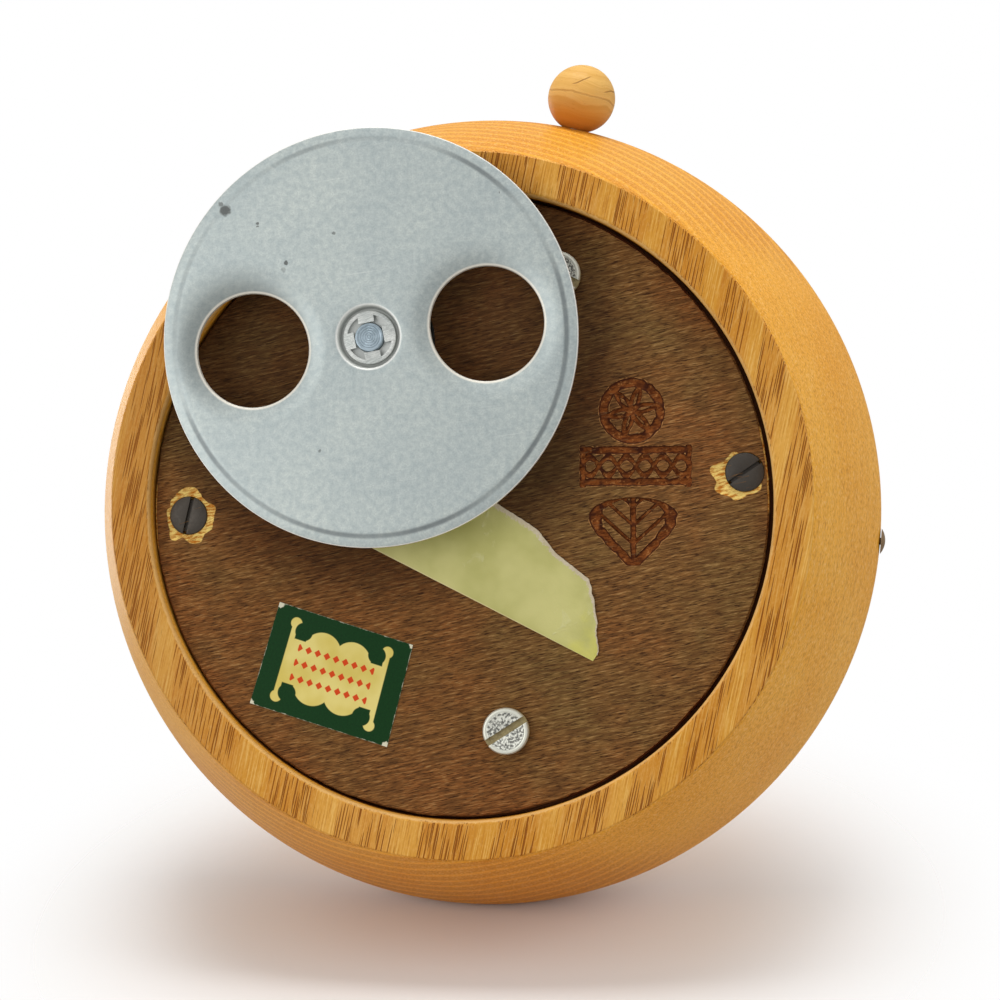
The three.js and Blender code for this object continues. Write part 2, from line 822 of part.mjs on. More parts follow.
function clickRivet() {
    const head_low = ratchet_low + ratchet_thickness / 2 + running_gap;
    const head_high = head_low + rivet_head_height;
    const profile = [
        [0, crown_low],
        [rivet_radius, crown_low],
        [rivet_radius, head_low],
        [click_pivot_radius, head_low],
        [click_pivot_radius, head_high],
        [0, head_high],
    ];
    const geometry = turnedGeometry(profile, small_steps);
    return geometry.translate(click_pivot_place_share * crown_radius, 0, 0);
}

// Spring barrel, a fixed cup over the mainspring

function springBarrel() {
    const inner = barrel_radius - barrel_wall;
    const flange = barrel_radius + barrel_flange_width;
    const journal = upper_journal_radius + running_gap;
    const profile = [
        [inner, floor_z],
        [flange, floor_z],
        [flange, floor_z + barrel_flange_thickness],
        [barrel_radius, floor_z + barrel_flange_thickness],
        [barrel_radius, barrel_high],
        [journal, barrel_high],
        [journal, barrel_high - barrel_wall],
        [inner, barrel_high - barrel_wall],
        [inner, floor_z],
    ];
    return turnedGeometry(profile, cylinder_steps);
}

function mainspring() {
    const first = spring_core_radius + seat_gap + spring_thickness;
    const last = barrel_radius - barrel_wall - seat_gap - spring_thickness;
    const steps = spring_turns * spring_steps;
    const edge = (offset) => {
        const points = [];
        for (let i = 0; i <= steps; i += 1) {
            const radius = first + (last - first) * i / steps + offset;
            const angle = i * full_turn / spring_steps;
            points.push([radius * Math.cos(angle), radius * Math.sin(angle)]);
        }
        return points;
    };
    const half = spring_thickness / 2;
    const shape = outline([...edge(half), ...edge(-half).reverse()]);
    const low = floor_z + spring_end_gap;
    const depth = barrel_high - barrel_wall - spring_end_gap - low;
    return new THREE.ExtrudeGeometry(shape, { depth, bevelEnabled: false }).translate(0, 0, low);
}

// Bedplate: a flat plate with three ears whose bosses take the movement screws

function bedplate() {
    const x0 = comb_back_x - bed_back_margin;
    const x1 = shaft_x + cylinder_radius + bed_side_margin;
    const y0 = far_bracket_y - bed_end_margin;
    const y1 = shaft_y + barrel_radius + bed_barrel_margin;
    const field = block([x0, x1], [y0, y1], [bed_low, bed_high]);
    const limit = rod(cavity_radius - side_gap, bed_low - cut_overrun, bed_high + cut_overrun, body_steps);
    const boss = rod(ear_radius, bed_low, bed_high + boss_height, hole_steps);
    const bosses = movement_screw_places.map(([x, y]) => moved(boss, x, y, 0));
    const reach = [bed_low, bed_high];
    const half = ear_arm_share * ear_radius;
    const arms = [
        block([screw_line_x - half, screw_line_x + half], [far_screw_y, y0 + half], reach),
        block([screw_line_x - half, screw_line_x + half], [y1 - half, near_screw_y], reach),
        block([x1 - half, side_screw_x], [side_screw_y - half, side_screw_y + half], reach),
    ];
    const plate = joined([field.intersect(limit), ...arms, ...bosses]);
    const high = bed_high + boss_height + cut_overrun;
    const thread = rod(movement_shank_radius + running_gap, 0, high, hole_steps);
    const threads = movement_screw_places.map(([x, y]) => moved(thread, x, y, 0));
    const shaft_bore = moved(rod(shaft_radius + running_gap, 0, high, hole_steps), shaft_x, shaft_y, 0);
    const taps = [...bracketScrewPlaces(), ...frameScrewPlaces()].map(([x, y]) => screwHole(x, y, 0, high));
    return cutBy(plate, [...threads, shaft_bore, ...taps]);
}

// Brackets: upright cheeks with two feet that point away from the barrel

function bracketFeet(y) {
    const far = shaft_x + bracket_width / 2;
    const near = governor_x - frame_arm_width / 2;
    const half = bracket_foot_length / 2;
    const y_span = [y - bracket_foot_reach, y + running_gap];
    return [
        [[near, near + bracket_foot_length], y_span],
        [[far - half, far + half], y_span],
    ];
}

function bracketScrewPlaces() {
    return [near_bracket_y, far_bracket_y].flatMap((y) => bracketFeet(y).map(([x_span, y_span]) => [
        (x_span[0] + x_span[1]) / 2,
        (y_span[0] + y_span[1]) / 2,
    ]));
}

function bracket(y, bores) {
    const low = floor_z;
    const foot_high = low + bracket_foot_height;
    const feet = bracketFeet(y);
    const x0 = feet[0][0][0];
    const x1 = feet[1][0][1];
    const top = axis_z + bracket_top_radius;
    const cheek_shape = outline([
        [x0, low],
        [x1, low],
        [x1, foot_high],
        [shaft_x + bracket_top_radius, top],
        [governor_x - bracket_top_radius, top],
        [x0, foot_high],
    ]);
    const upright = new THREE.ExtrudeGeometry(cheek_shape, { depth: bracket_thickness, bevelEnabled: false });
    const cheek = solid(upright.rotateX(Math.PI / 2).translate(0, y + bracket_thickness, 0));
    const foot_blocks = feet.map(([x_span, y_span]) => block(x_span, y_span, [low, foot_high]));
    const screw_holes = feet.map(([x_span, y_span]) => {
        return screwHole((x_span[0] + x_span[1]) / 2, (y_span[0] + y_span[1]) / 2, 0, axis_z);
    });
    const bored = bores.map(([x, radius]) => {
        const bore = alongY(rod(radius + running_gap, y - cut_overrun, y + bracket_foot_reach, small_steps));
        return moved(bore, x, 0, axis_z);
    });
    return cutBy(joined([cheek, ...foot_blocks]), [...screw_holes, ...bored]);
}

// Pinned cylinder and the wheels on its arbor, made about Z and then laid along Y

const onCylinder = (body) => moved(alongY(body), shaft_x, 0, axis_z);

function pinnedCylinder() {
    const hole = arbor_radius + running_gap;
    const inner = cylinder_radius - cylinder_wall;
    const low = cylinder_y;
    const high = cylinder_y + cylinder_length;
    const drum = turnedBody([
        [hole, low],
        [cylinder_radius, low],
        [cylinder_radius, high],
        [hole, high],
        [hole, high - cylinder_end_wall],
        [inner, high - cylinder_end_wall],
        [inner, low + cylinder_end_wall],
        [hole, low + cylinder_end_wall],
        [hole, low],
    ], cylinder_steps);
    const half = pin_width / 2;
    const span = [cylinder_radius - pin_root, cylinder_radius + pin_height];
    const pins = [];
    for (let tooth = 0; tooth < comb_teeth; tooth += 1) {
        const y = comb_y + (tooth + 1 / 2) * comb_tooth_pitch;
        const pin = block(span, [-half, half], [y - half, y + half]);
        for (let i = 0; i < pins_per_tooth; i += 1) {
            const beat = (tooth * beats_to_next_tooth + i * beats_to_next_pin) % cylinder_steps;
            pins.push(spun(pin, (beat + 1 / 2) * full_turn / cylinder_steps));
        }
    }
    return onCylinder(wasm.Manifold.union([drum, ...pins]));
}

function cylinderArbor() {
    const low = far_bracket_y - arbor_overhang;
    const high = crown_pinion_y + crown_pinion_width;
    return onCylinder(rod(arbor_radius, low, high, small_steps));
}

function spurWheel(sizes, phase_share, low, thickness, bore_radius) {
    const wheel = slab(gearOutline(sizes, phase_share), low, thickness);
    const high = low + thickness + cut_overrun;
    return wheel.subtract(rod(bore_radius + running_gap, low - cut_overrun, high, small_steps));
}

function crownPinionWheel() {
    const wheel = spurWheel(crown_pinion, 0, crown_pinion_y, crown_pinion_width, arbor_radius);
    return onCylinder(wheel);
}

function cylinderWheel() {
    const wheel = spurWheel(cylinder_wheel, 0, cylinder_wheel_y, wheel_thickness, arbor_radius);
    return onCylinder(wheel);
}

// Comb: one steel plate, slit into teeth, with weights under the low ones

function combTooth(index) {
    const root_share = index / (comb_teeth - 1);
    const root = comb_back_x + comb_plate_length + comb_bass_root
        + root_share * (comb_treble_root - comb_bass_root);
    const y = comb_y + (index + 1 / 2) * comb_tooth_pitch;
    const root_half = comb_tooth_share * comb_tooth_pitch / 2;
    const tip_half = comb_tip_share * comb_tooth_pitch / 2;
    return { root, y, root_half, tip_half };
}

function steelComb() {
    const low = axis_z - comb_tooth_thickness / 2;
    const points = [[comb_back_x, comb_y]];
    for (let i = 0; i < comb_teeth; i += 1) {
        const { root, y, root_half, tip_half } = combTooth(i);
        if (i === 0) points.push([root, comb_y]);
        points.push([root, y - root_half], [comb_tip_x, y - tip_half]);
        points.push([comb_tip_x, y + tip_half], [root, y + root_half]);
        if (i === comb_teeth - 1) points.push([root, comb_y + comb_width]);
    }
    points.push([comb_back_x, comb_y + comb_width]);
    const teeth = slab(outline(points), low, comb_tooth_thickness);
    const plate_span = [comb_back_x, comb_back_x + comb_plate_length];
    const plate = block(plate_span, [comb_y, comb_y + comb_width], [low, low + comb_plate_thickness]);
    const weights = [];
    const weighted = Math.round(comb_weighted_share * comb_teeth);
    for (let i = 0; i < weighted; i += 1) {
        const { y, tip_half } = combTooth(i);
        const drop = comb_weight_drop * (1 - i / weighted);
        const span = [comb_tip_x - comb_weight_length, comb_tip_x - comb_tip_gap];
        weights.push(block(span, [y - tip_half, y + tip_half], [low - drop, low + running_gap]));
    }
    const holes = combScrewPlaces().map(([x, y]) => screwHole(x, y, 0, rod_z));
    return cutBy(wasm.Manifold.union([teeth, plate, ...weights]), holes);
}

function combScrewPlaces() {
    const x = comb_back_x + comb_bed_length / 2;
    const middle = comb_y + comb_width / 2;
    const step = comb_screw_share * comb_width;
    return [middle - step, middle, middle + step].map((y) => [x, y]);
}

function combBed() {
    const high = axis_z - comb_tooth_thickness / 2 - seat_gap;
    const span = [comb_back_x, comb_back_x + comb_bed_length];
    const bed = block(span, [comb_y, comb_y + comb_width], [floor_z, high]);
    return cutBy(bed, combScrewPlaces().map(([x, y]) => screwHole(x, y, floor_z + seat_gap, rod_z)));
}

function combBar() {
    const middle = comb_back_x + comb_bed_length / 2;
    const span = [middle - comb_bar_length / 2, middle + comb_bar_length / 2];
    const bar = block(span, [comb_y, comb_y + comb_width], [comb_bar_low, comb_bar_high]);
    return cutBy(bar, combScrewPlaces().map(([x, y]) => screwHole(x, y, 0, rod_z)));
}

function combScrew(index) {
    const [x, y] = combScrewPlaces()[index];
    const bite = comb_bar_high - axis_z + small_screw_bite;
    return screwDown(x, y, comb_bar_high, bite, (index + 1) * Math.PI / 5);
}

// Governor

function governorArbor() {
    const overreach = pinion_overreach;
    const low = cylinder_wheel_y - overreach;
    const width = wheel_thickness + 2 * overreach;
    const arbor_low = low - side_gap;
    const arbor_high = frameBackY() + frame_thickness + side_gap;
    const pinion = slab(gearOutline(governor_pinion, 1 / 2), low, width);
    const shaft = rod(governor_arbor_radius, arbor_low, arbor_high, small_steps);
    return moved(alongY(pinion.add(shaft)), governor_x, 0, axis_z);
}

function wormWheel() {
    const bore = governor_arbor_radius;
    const wheel = spurWheel(worm_wheel, 0, worm_wheel_y, worm_wheel_thickness, bore);
    return moved(alongY(wheel), governor_x, 0, axis_z);
}

// One thread wound round the worm's core; at angle zero a gap faces the wheel's tooth
function wormThread() {
    const steps = Math.round(worm_turns * worm_steps);
    const first_z = axis_z - worm_turns * worm_lead / 2;
    const gaps_down = Math.floor((axis_z - first_z) / worm_lead) + 1 / 2;
    const start_z = axis_z - gaps_down * worm_lead;
    const root = worm_root_share * worm_lead / 2;
    const tip = worm_tip_share * worm_lead / 2;
    const inner = worm_core_radius - running_gap;
    const section = [[inner, -root], [worm_tip_radius, -tip], [worm_tip_radius, tip], [inner, root]];
    const places = [];
    for (let i = 0; i <= steps; i += 1) {
        const angle = i * full_turn / worm_steps;
        const z = start_z + i * worm_lead / worm_steps;
        for (const [radius, rise] of section) {
            places.push(radius * Math.cos(angle), radius * Math.sin(angle), z + rise);
        }
    }
    const corners = [0, 1, 2, 0, 2, 3];
    for (let i = 0; i < steps; i += 1) {
        for (let k = 0; k < 4; k += 1) {
            const a = 4 * i + k;
            const b = 4 * i + (k + 1) % 4;
            corners.push(a, a + 4, b, b, a + 4, b + 4);
        }
    }
    const end = 4 * steps;
    corners.push(end, end + 2, end + 1, end, end + 3, end + 2);
    const geometry = new THREE.BufferGeometry();
    geometry.setAttribute('position', new THREE.Float32BufferAttribute(places, 3));
    geometry.setIndex(corners);
    return solid(geometry);
}

function wormShaft() {
    const pivot_low = floor_z + frame_foot_rise;
    const shoulder_low = pivot_low + frame_thickness + seat_gap;
    const core_half = (worm_turns / 2 + 1) * worm_lead;
    const pivot_high = frame_arm_low + frame_thickness;
    const profile = [
        [0, pivot_low],
        [worm_pivot_radius, pivot_low],
        [worm_pivot_radius, shoulder_low],
        [worm_shaft_radius, shoulder_low],
        [worm_shaft_radius, axis_z - core_half],
        [worm_core_radius, axis_z - core_half],
        [worm_core_radius, axis_z + core_half],
        [worm_shaft_radius, axis_z + core_half],
        [worm_shaft_radius, frame_arm_low - running_gap],
        [worm_pivot_radius, frame_arm_low - running_gap],
        [worm_pivot_radius, pivot_high],
        [0, pivot_high],
    ];
    return moved(turnedBody(profile, worm_steps).add(wormThread()), worm_x, worm_y, 0);
}

function airFly() {
    const half = fly_thickness / 2;
    const vanes = block([-fly_reach, fly_reach], [-half, half], [fly_low, fly_high]);
    const hub = rod(fly_hub_radius, fly_low, fly_high, small_steps);
    const bore = rod(worm_shaft_radius + running_gap, 0, rod_z, small_steps);
    return moved(vanes.add(hub).subtract(bore), worm_x, worm_y, 0);
}

function frameBackY() {
    return worm_y + worm_tip_radius + side_gap;
}

function frameScrewPlaces() {
    const x = frame_x - frame_foot_length / 2;
    const y0 = worm_y - frame_arm_width / 2;
    const y1 = frameBackY() + frame_thickness;
    return [[x, y0 + small_head_radius], [x, y1 + small_head_radius]];
}

function governorFrame() {
    const y0 = worm_y - frame_arm_width / 2;
    const back_y = frameBackY();
    const y1 = back_y + frame_thickness + 2 * small_head_radius;
    const upright = [frame_x, frame_x + frame_thickness];
    const arm = [frame_x, worm_x + frame_arm_width / 2];
    const arm_y = [y0, worm_y + frame_arm_width / 2];
    const pivot_low = floor_z + frame_foot_rise;
    const back = [frame_x, governor_x + frame_arm_width / 2];
    const back_z = [axis_z - frame_back_length / 2, axis_z + frame_back_length / 2];
    const foot = [frame_x - frame_foot_length, frame_x + frame_thickness];
    const body = joined([
        block(upright, [y0, back_y + frame_thickness], [floor_z, frame_high]),
        block(foot, [y0, y1], [floor_z, floor_z + bracket_foot_height]),
        block(arm, arm_y, [frame_arm_low, frame_high]),
        block(arm, arm_y, [pivot_low, pivot_low + frame_thickness]),
        block(back, [back_y, back_y + frame_thickness], back_z),
    ]);
    const pivot = moved(rod(worm_pivot_radius + running_gap, 0, ceiling_z, small_steps), worm_x, worm_y, 0);
    const bore_high = back_y + frame_thickness + cut_overrun;
    const bore_low = back_y - cut_overrun;
    const bore = alongY(rod(governor_arbor_radius + running_gap, bore_low, bore_high, small_steps));
    const holes = frameScrewPlaces().map(([x, y]) => screwHole(x, y, 0, axis_z));
    return cutBy(body, [pivot, moved(bore, governor_x, 0, axis_z), ...holes]);
}

function footScrew([x, y], index) {
    const seat_z = floor_z + bracket_foot_height;
    const bite = seat_gap + bracket_foot_height + bed_thickness;
    return screwDown(x, y, seat_z, bite, (index + 1) * Math.PI / 7);
}

// Start and stop knob, made along X, which points out through the wall

const ball_x = shoulderRadiusAt(rod_z) + ball_wall_gap + ball_radius;

function ballKnob() {
    const flat = ball_flat_share * ball_radius;
    const mouth = Math.acos(ball_flat_share);
    const bore = rod_radius + running_gap;
    const bore_end = -flat + ball_bore_share * ball_radius;
    const round = arcPoints([0, 0], ball_radius, mouth - Math.PI / 2, Math.PI / 2, 2 * arc_steps);
    round[2 * arc_steps][0] = 0;
    const profile = [[0, bore_end], [bore, bore_end], [bore, -flat], ...round];
    return moved(alongX(turnedBody(profile, hole_steps)), ball_x, 0, rod_z);
}

function knobRod() {
    const bore_end = ball_x + (ball_bore_share - ball_flat_share) * ball_radius;
    return moved(alongX(rod(rod_radius, rod_inner_reach, bore_end - seat_gap, small_steps)), 0, 0, rod_z);
}

function stopRing() {
    const high = cavity_radius - seat_gap - knob_travel;
    const inner = rod_radius + running_gap;
    const ring = tube(rod_radius + stop_ring_depth, inner, high - stop_ring_width, high, small_steps);
    return moved(alongX(ring), 0, 0, rod_z);
}

// The wire runs over the governor and dips just beyond the fly; a pull brings the dip into its path
function stopWire() {
    const away = knob_turn - movement_turn;
    const fly_along = worm_x * Math.cos(away) + worm_y * Math.sin(away);
    const tip_x = fly_along - fly_reach - wire_radius - wire_rest_gap;
    const start = rod_inner_reach - seat_gap;
    const low = fly_high - wire_dip_share * fly_height;
    const path = new THREE.CurvePath();
    const corner = new THREE.Vector3(tip_x, 0, rod_z);
    const before = new THREE.Vector3(tip_x + wire_bend, 0, rod_z);
    const after = new THREE.Vector3(tip_x, 0, rod_z - wire_bend);
    path.add(new THREE.LineCurve3(new THREE.Vector3(start, 0, rod_z), before));
    path.add(new THREE.QuadraticBezierCurve3(before, corner, after));
    path.add(new THREE.LineCurve3(after, new THREE.Vector3(tip_x, 0, low)));
    const section = new THREE.Shape().absarc(0, 0, wire_radius, 0, full_turn, false);
    const settings = { steps: small_steps, curveSegments: arc_steps, extrudePath: path };
    return new THREE.ExtrudeGeometry(section, settings);
}

// Finishes

function finish(color, roughness, metalness) {
    return new THREE.MeshStandardMaterial({ color, roughness, metalness });
}

const finishes = {
    honey_wood: finish(0xd99a4e, 0.55, 0),
    dark_plywood: finish(0x6b4726, 0.8, 0),
    zinc_sheet: finish(0xbac4c1, 0.42, 0.8),
    dark_steel: finish(0x44382a, 0.55, 0.7),
    bright_steel: finish(0x9c9b90, 0.35, 0.9),
    blue_steel: finish(0x4a5058, 0.35, 0.9),
    brass: finish(0xb8934a, 0.35, 0.9),
    cast_zinc: finish(0x8f9291, 0.5, 0.8),
    rust: finish(0x6e5238, 0.7, 0.4),
};

function piece(name, body, material) {
    const geometry = body instanceof THREE.BufferGeometry ? body : geometryOf(body);
    const mesh = new THREE.Mesh(geometry, finishes[material]);
    mesh.name = name;
    return mesh;
}

const musicBox = new THREE.Group();

// What stands still with the wooden body
musicBox.add(piece('body_shell', bodyShell(), 'honey_wood'));
musicBox.add(piece('base_plate', basePlate(), 'dark_plywood'));
musicBox.add(piece('wall_tack', domedTack(), 'rust'));
musicBox.add(piece('cover_screw_left', coverScrew(0), 'dark_steel'));
musicBox.add(piece('cover_screw_right', coverScrew(1), 'dark_steel'));

// The movement, turned in the body to suit its screws
const movement = new THREE.Group();
movement.rotation.z = movement_turn;
musicBox.add(movement);
['far', 'near', 'side'].forEach((place, i) => {
    movement.add(piece(`movement_screw_${place}`, movementScrew(i), 'bright_steel'));
});
movement.add(piece('bedplate', bedplate(), 'cast_zinc'));
const near_bores = [[shaft_x, arbor_radius], [governor_x, governor_arbor_radius]];
movement.add(piece('near_bracket', bracket(near_bracket_y, near_bores), 'brass'));
movement.add(piece('far_bracket', bracket(far_bracket_y, [[shaft_x, arbor_radius]]), 'brass'));
bracketScrewPlaces().forEach((place, i) => {
    movement.add(piece(`bracket_screw_${i + 1}`, footScrew(place, i), 'bright_steel'));
});
movement.add(piece('pinned_cylinder', pinnedCylinder(), 'brass'));
movement.add(piece('cylinder_arbor', cylinderArbor(), 'bright_steel'));
movement.add(piece('crown_pinion', crownPinionWheel(), 'bright_steel'));
movement.add(piece('cylinder_wheel', cylinderWheel(), 'brass'));
movement.add(piece('comb', steelComb(), 'bright_steel'));
movement.add(piece('comb_bed', combBed(), 'cast_zinc'));
movement.add(piece('comb_bar', combBar(), 'brass'));
combScrewPlaces().forEach((place, i) => {
    movement.add(piece(`comb_screw_${i + 1}`, combScrew(i), 'blue_steel'));
});
movement.add(piece('governor_frame', governorFrame(), 'cast_zinc'));
frameScrewPlaces().forEach((place, i) => {
    movement.add(piece(`governor_screw_${i + 1}`, footScrew(place, i + 2), 'bright_steel'));
});
movement.add(piece('governor_pinion', governorArbor(), 'bright_steel'));
movement.add(piece('worm_wheel', wormWheel(), 'brass'));
movement.add(piece('worm_shaft', wormShaft(), 'bright_steel'));
movement.add(piece('air_fly', airFly(), 'brass'));

// Everything about the winding shaft, in a group on the shaft's axis
const winding = new THREE.Group();
winding.position.set(shaft_x, shaft_y, 0);
movement.add(winding);
winding.add(piece('spring_barrel', springBarrel(), 'brass'));
winding.add(piece('mainspring', mainspring(), 'blue_steel'));
winding.add(piece('great_wheel', greatWheel(), 'brass'));
winding.add(piece('click_spring', clickSpring(), 'blue_steel'));
winding.add(piece('click_rivet', clickRivet(), 'bright_steel'));
winding.add(piece('winding_shaft', windingShaft(), 'bright_steel'));
winding.add(piece('ratchet_wheel', ratchetWheel(), 'bright_steel'));
winding.add(piece('shaft_clip', shaftClip(), 'blue_steel'));

// The disc and its washer are squared to the body, not to the movement
const foot = new THREE.Group();
foot.rotation.z = -movement_turn;
winding.add(foot);
foot.add(piece('winding_disc', windingDisc(), 'zinc_sheet'));
foot.add(piece('grip_washer', gripWasher(), 'bright_steel'));

// The knob, its rod and the wire that stops the fly
const knob = new THREE.Group();
knob.rotation.z = knob_turn;
musicBox.add(knob);
knob.add(piece('ball_knob', ballKnob(), 'honey_wood'));
knob.add(piece('knob_rod', knobRod(), 'bright_steel'));
knob.add(piece('stop_ring', stopRing(), 'bright_steel'));
knob.add(piece('stop_wire', stopWire(), 'bright_steel'));

export default musicBox;
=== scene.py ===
# %% [markdown]
# # A round wooden music box, seen from below
# The box is turned from one block of honey-coloured wood. A stained plywood base is let into its rim,
# and a zinc-coated disc on the winding shaft is the foot that it stands and revolves on. This lesson
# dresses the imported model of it: first the camera and light, then helpers, finishes, and one piece
# after another. Lengths are written in millimetres and turned into metres by one helper.

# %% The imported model
import json
import math

import bmesh
import bpy
from mathutils import Matrix, Vector, noise


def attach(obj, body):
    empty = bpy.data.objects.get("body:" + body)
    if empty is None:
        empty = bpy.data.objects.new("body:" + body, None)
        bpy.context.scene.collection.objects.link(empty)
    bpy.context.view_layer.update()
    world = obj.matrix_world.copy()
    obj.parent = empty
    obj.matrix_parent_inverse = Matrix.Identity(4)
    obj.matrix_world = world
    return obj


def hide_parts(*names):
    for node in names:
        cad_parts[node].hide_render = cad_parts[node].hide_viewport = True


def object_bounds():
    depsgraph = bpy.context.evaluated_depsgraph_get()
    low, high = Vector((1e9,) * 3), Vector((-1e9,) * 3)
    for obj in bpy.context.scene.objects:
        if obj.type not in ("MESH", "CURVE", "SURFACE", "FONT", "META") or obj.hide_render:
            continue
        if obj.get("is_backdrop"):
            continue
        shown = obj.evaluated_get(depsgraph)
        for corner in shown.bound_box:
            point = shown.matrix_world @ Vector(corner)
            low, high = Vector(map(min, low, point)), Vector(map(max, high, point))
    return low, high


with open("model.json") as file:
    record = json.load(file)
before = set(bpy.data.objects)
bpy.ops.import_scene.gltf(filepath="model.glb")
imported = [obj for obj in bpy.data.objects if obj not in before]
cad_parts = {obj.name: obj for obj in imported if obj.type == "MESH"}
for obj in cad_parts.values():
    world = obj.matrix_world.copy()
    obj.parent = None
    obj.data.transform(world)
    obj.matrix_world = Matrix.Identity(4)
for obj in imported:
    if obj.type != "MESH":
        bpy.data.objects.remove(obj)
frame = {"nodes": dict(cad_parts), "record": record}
cad_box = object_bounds()


def mm(*lengths):
    """Lengths in millimetres, as metres: one number, or a vector of three."""
    metres = [length / 1000 for length in lengths]
    return metres[0] if len(metres) == 1 else Vector(metres)


def tone(red, green, blue):
    """A colour as an image shows it, from 0 to 255, as the linear colour that a shader takes."""
    shares = [value / 255 for value in (red, green, blue)]
    return tuple(s / 12.92 if s <= 0.04045 else ((s + 0.055) / 1.055) ** 2.4 for s in shares) + (1.0,)


def linked(name, data):
    """A new object in the scene."""
    made = bpy.data.objects.new(name, data)
    bpy.context.scene.collection.objects.link(made)
    return made


cad_size = [round(v * 1000, 1) for v in cad_box[1] - cad_box[0]]
print("nodes in the model:", len(frame["nodes"]), "box mm:", cad_size)

# %% [markdown]
# ## Camera
# The picture was taken from below the box, about 0.4 m away, almost square to the rim. A perspective
# camera is put there with its own lens. It could be aimed by a constraint, but a fixed place and turn
# stay the same whatever else is in the scene.

# %% Camera below the box
camera_place, camera_turns = mm(-66.07, -14.75, -399.95), (-177.858, -8.251, 180)
camera_data = bpy.data.cameras.new("picture_camera")
camera_data.lens, camera_data.sensor_width = 90.6, 36
camera = linked("picture_camera", camera_data)
camera.location = camera_place
camera.rotation_euler = [math.radians(turn) for turn in camera_turns]
bpy.context.scene.camera = camera
print("camera distance below the disc that the box stands on, mm:", round(-camera.location.z * 1000))

# %% [markdown]
# ## Building node trees
# Materials and Geometry Nodes trees are both made of nodes, sockets and links. Placing them by hand in
# a script is long-winded, so a few helpers add a node with its values and links in one call. A value
# may be a plain number, or the output of another node, which is then linked. Every Geometry Nodes tree
# here begins and ends alike, and two helpers take care of that.

# %% Helpers for nodes
def socket_of(sockets, key):
    """A socket by its place, its identifier or its name."""
    if isinstance(key, int):
        return sockets[key]
    return next((socket for socket in sockets if socket.identifier == key), None) or sockets[key]


def add(tree, kind, values=None, **settings):
    node = tree.nodes.new(kind)
    for name, value in settings.items():
        setattr(node, name, value)
    for key, value in (values or {}).items():
        socket = socket_of(node.inputs, key)
        if isinstance(value, bpy.types.NodeSocket):
            tree.links.new(value, socket)
        else:
            socket.default_value = value
    return node


def new_tree(name, kind, inputs, outputs):
    """An empty node tree with named sockets, and the nodes for its inputs and outputs."""
    tree = bpy.data.node_groups.new(name, kind)
    for in_out, sockets in (("INPUT", inputs), ("OUTPUT", outputs)):
        for socket_name, socket_kind, *default in sockets:
            socket = tree.interface.new_socket(socket_name, in_out=in_out,
                                               socket_type="NodeSocket" + socket_kind)
            if default:
                socket.default_value = default[0]
    return tree, tree.nodes.new("NodeGroupInput").outputs, tree.nodes.new("NodeGroupOutput").inputs


def geometry_tree(name, *inputs):
    """An empty Geometry Nodes tree that takes a shape and a finish, and gives a shape."""
    inputs = [("Geometry", "Geometry"), *inputs, ("Finish", "Material")]
    return new_tree(name, "GeometryNodeTree", inputs, [("Geometry", "Geometry")])


def ended(tree, shape, given, made):
    """A Geometry Nodes tree whose shape is made real, given its finish and put out."""
    real = add(tree, "GeometryNodeRealizeInstances", {"Geometry": shape}).outputs[0]
    done = add(tree, "GeometryNodeSetMaterial", {"Geometry": real, "Material": given["Finish"]}).outputs[0]
    tree.links.new(done, made["Geometry"])
    return tree


def maths(tree, operation, *values):
    return add(tree, "ShaderNodeMath", dict(enumerate(values)), operation=operation).outputs[0]


def times(tree, first, second):
    return maths(tree, "MULTIPLY", first, second)


def plus(tree, first, second):
    return maths(tree, "ADD", first, second)


def minus(tree, first, second):
    return maths(tree, "SUBTRACT", first, second)


def divided(tree, first, second):
    return maths(tree, "DIVIDE", first, second)


def size_of(tree, value):
    """The value without its sign."""
    return maths(tree, "ABSOLUTE", value)


def larger(tree, first, second):
    return maths(tree, "MAXIMUM", first, second)


def smaller(tree, first, second):
    return maths(tree, "MINIMUM", first, second)


def vector_of(tree, x=0.0, y=0.0, z=0.0):
    return add(tree, "ShaderNodeCombineXYZ", {0: x, 1: y, 2: z}).outputs[0]


def axes_of(tree, vector):
    """The outputs X, Y and Z of a place."""
    return add(tree, "ShaderNodeSeparateXYZ", {0: vector}).outputs


def vectors(tree, operation, *values):
    node = add(tree, "ShaderNodeVectorMath", dict(enumerate(values)), operation=operation)
    return node.outputs["Value" if operation in ("LENGTH", "DISTANCE", "DOT_PRODUCT") else "Vector"]


def scaled(tree, vector, factor):
    return add(tree, "ShaderNodeVectorMath", {0: vector, "Scale": factor}, operation="SCALE").outputs[0]


def spread(tree, value, low, high, to_low=0.0, to_high=1.0):
    """Maps a value between two limits smoothly onto another range."""
    limits = {"Value": value, "From Min": low, "From Max": high, "To Min": to_low, "To Max": to_high}
    return add(tree, "ShaderNodeMapRange", limits, interpolation_type="SMOOTHSTEP").outputs[0]


def grainy(tree, vector, scale, detail=2.0, roughness=0.5, distortion=0.0):
    """A noise from 0 to 1; a larger scale makes it finer."""
    values = {"Vector": vector, "Scale": scale, "Detail": detail, "Roughness": roughness,
              "Distortion": distortion}
    return add(tree, "ShaderNodeTexNoise", values).outputs["Fac"]


def grainy_vector(tree, vector, scale, reach):
    """Three noises at once, each from 0 to the reach."""
    colour = add(tree, "ShaderNodeTexNoise", {"Vector": vector, "Scale": scale}).outputs["Color"]
    return scaled(tree, colour, reach)


def grainy_line(tree, along, scale, detail, roughness=0.5):
    """A noise that changes along one axis only, so that it makes bands."""
    values = {"W": along, "Scale": scale, "Detail": detail, "Roughness": roughness}
    return add(tree, "ShaderNodeTexNoise", values, noise_dimensions="1D").outputs["Fac"]


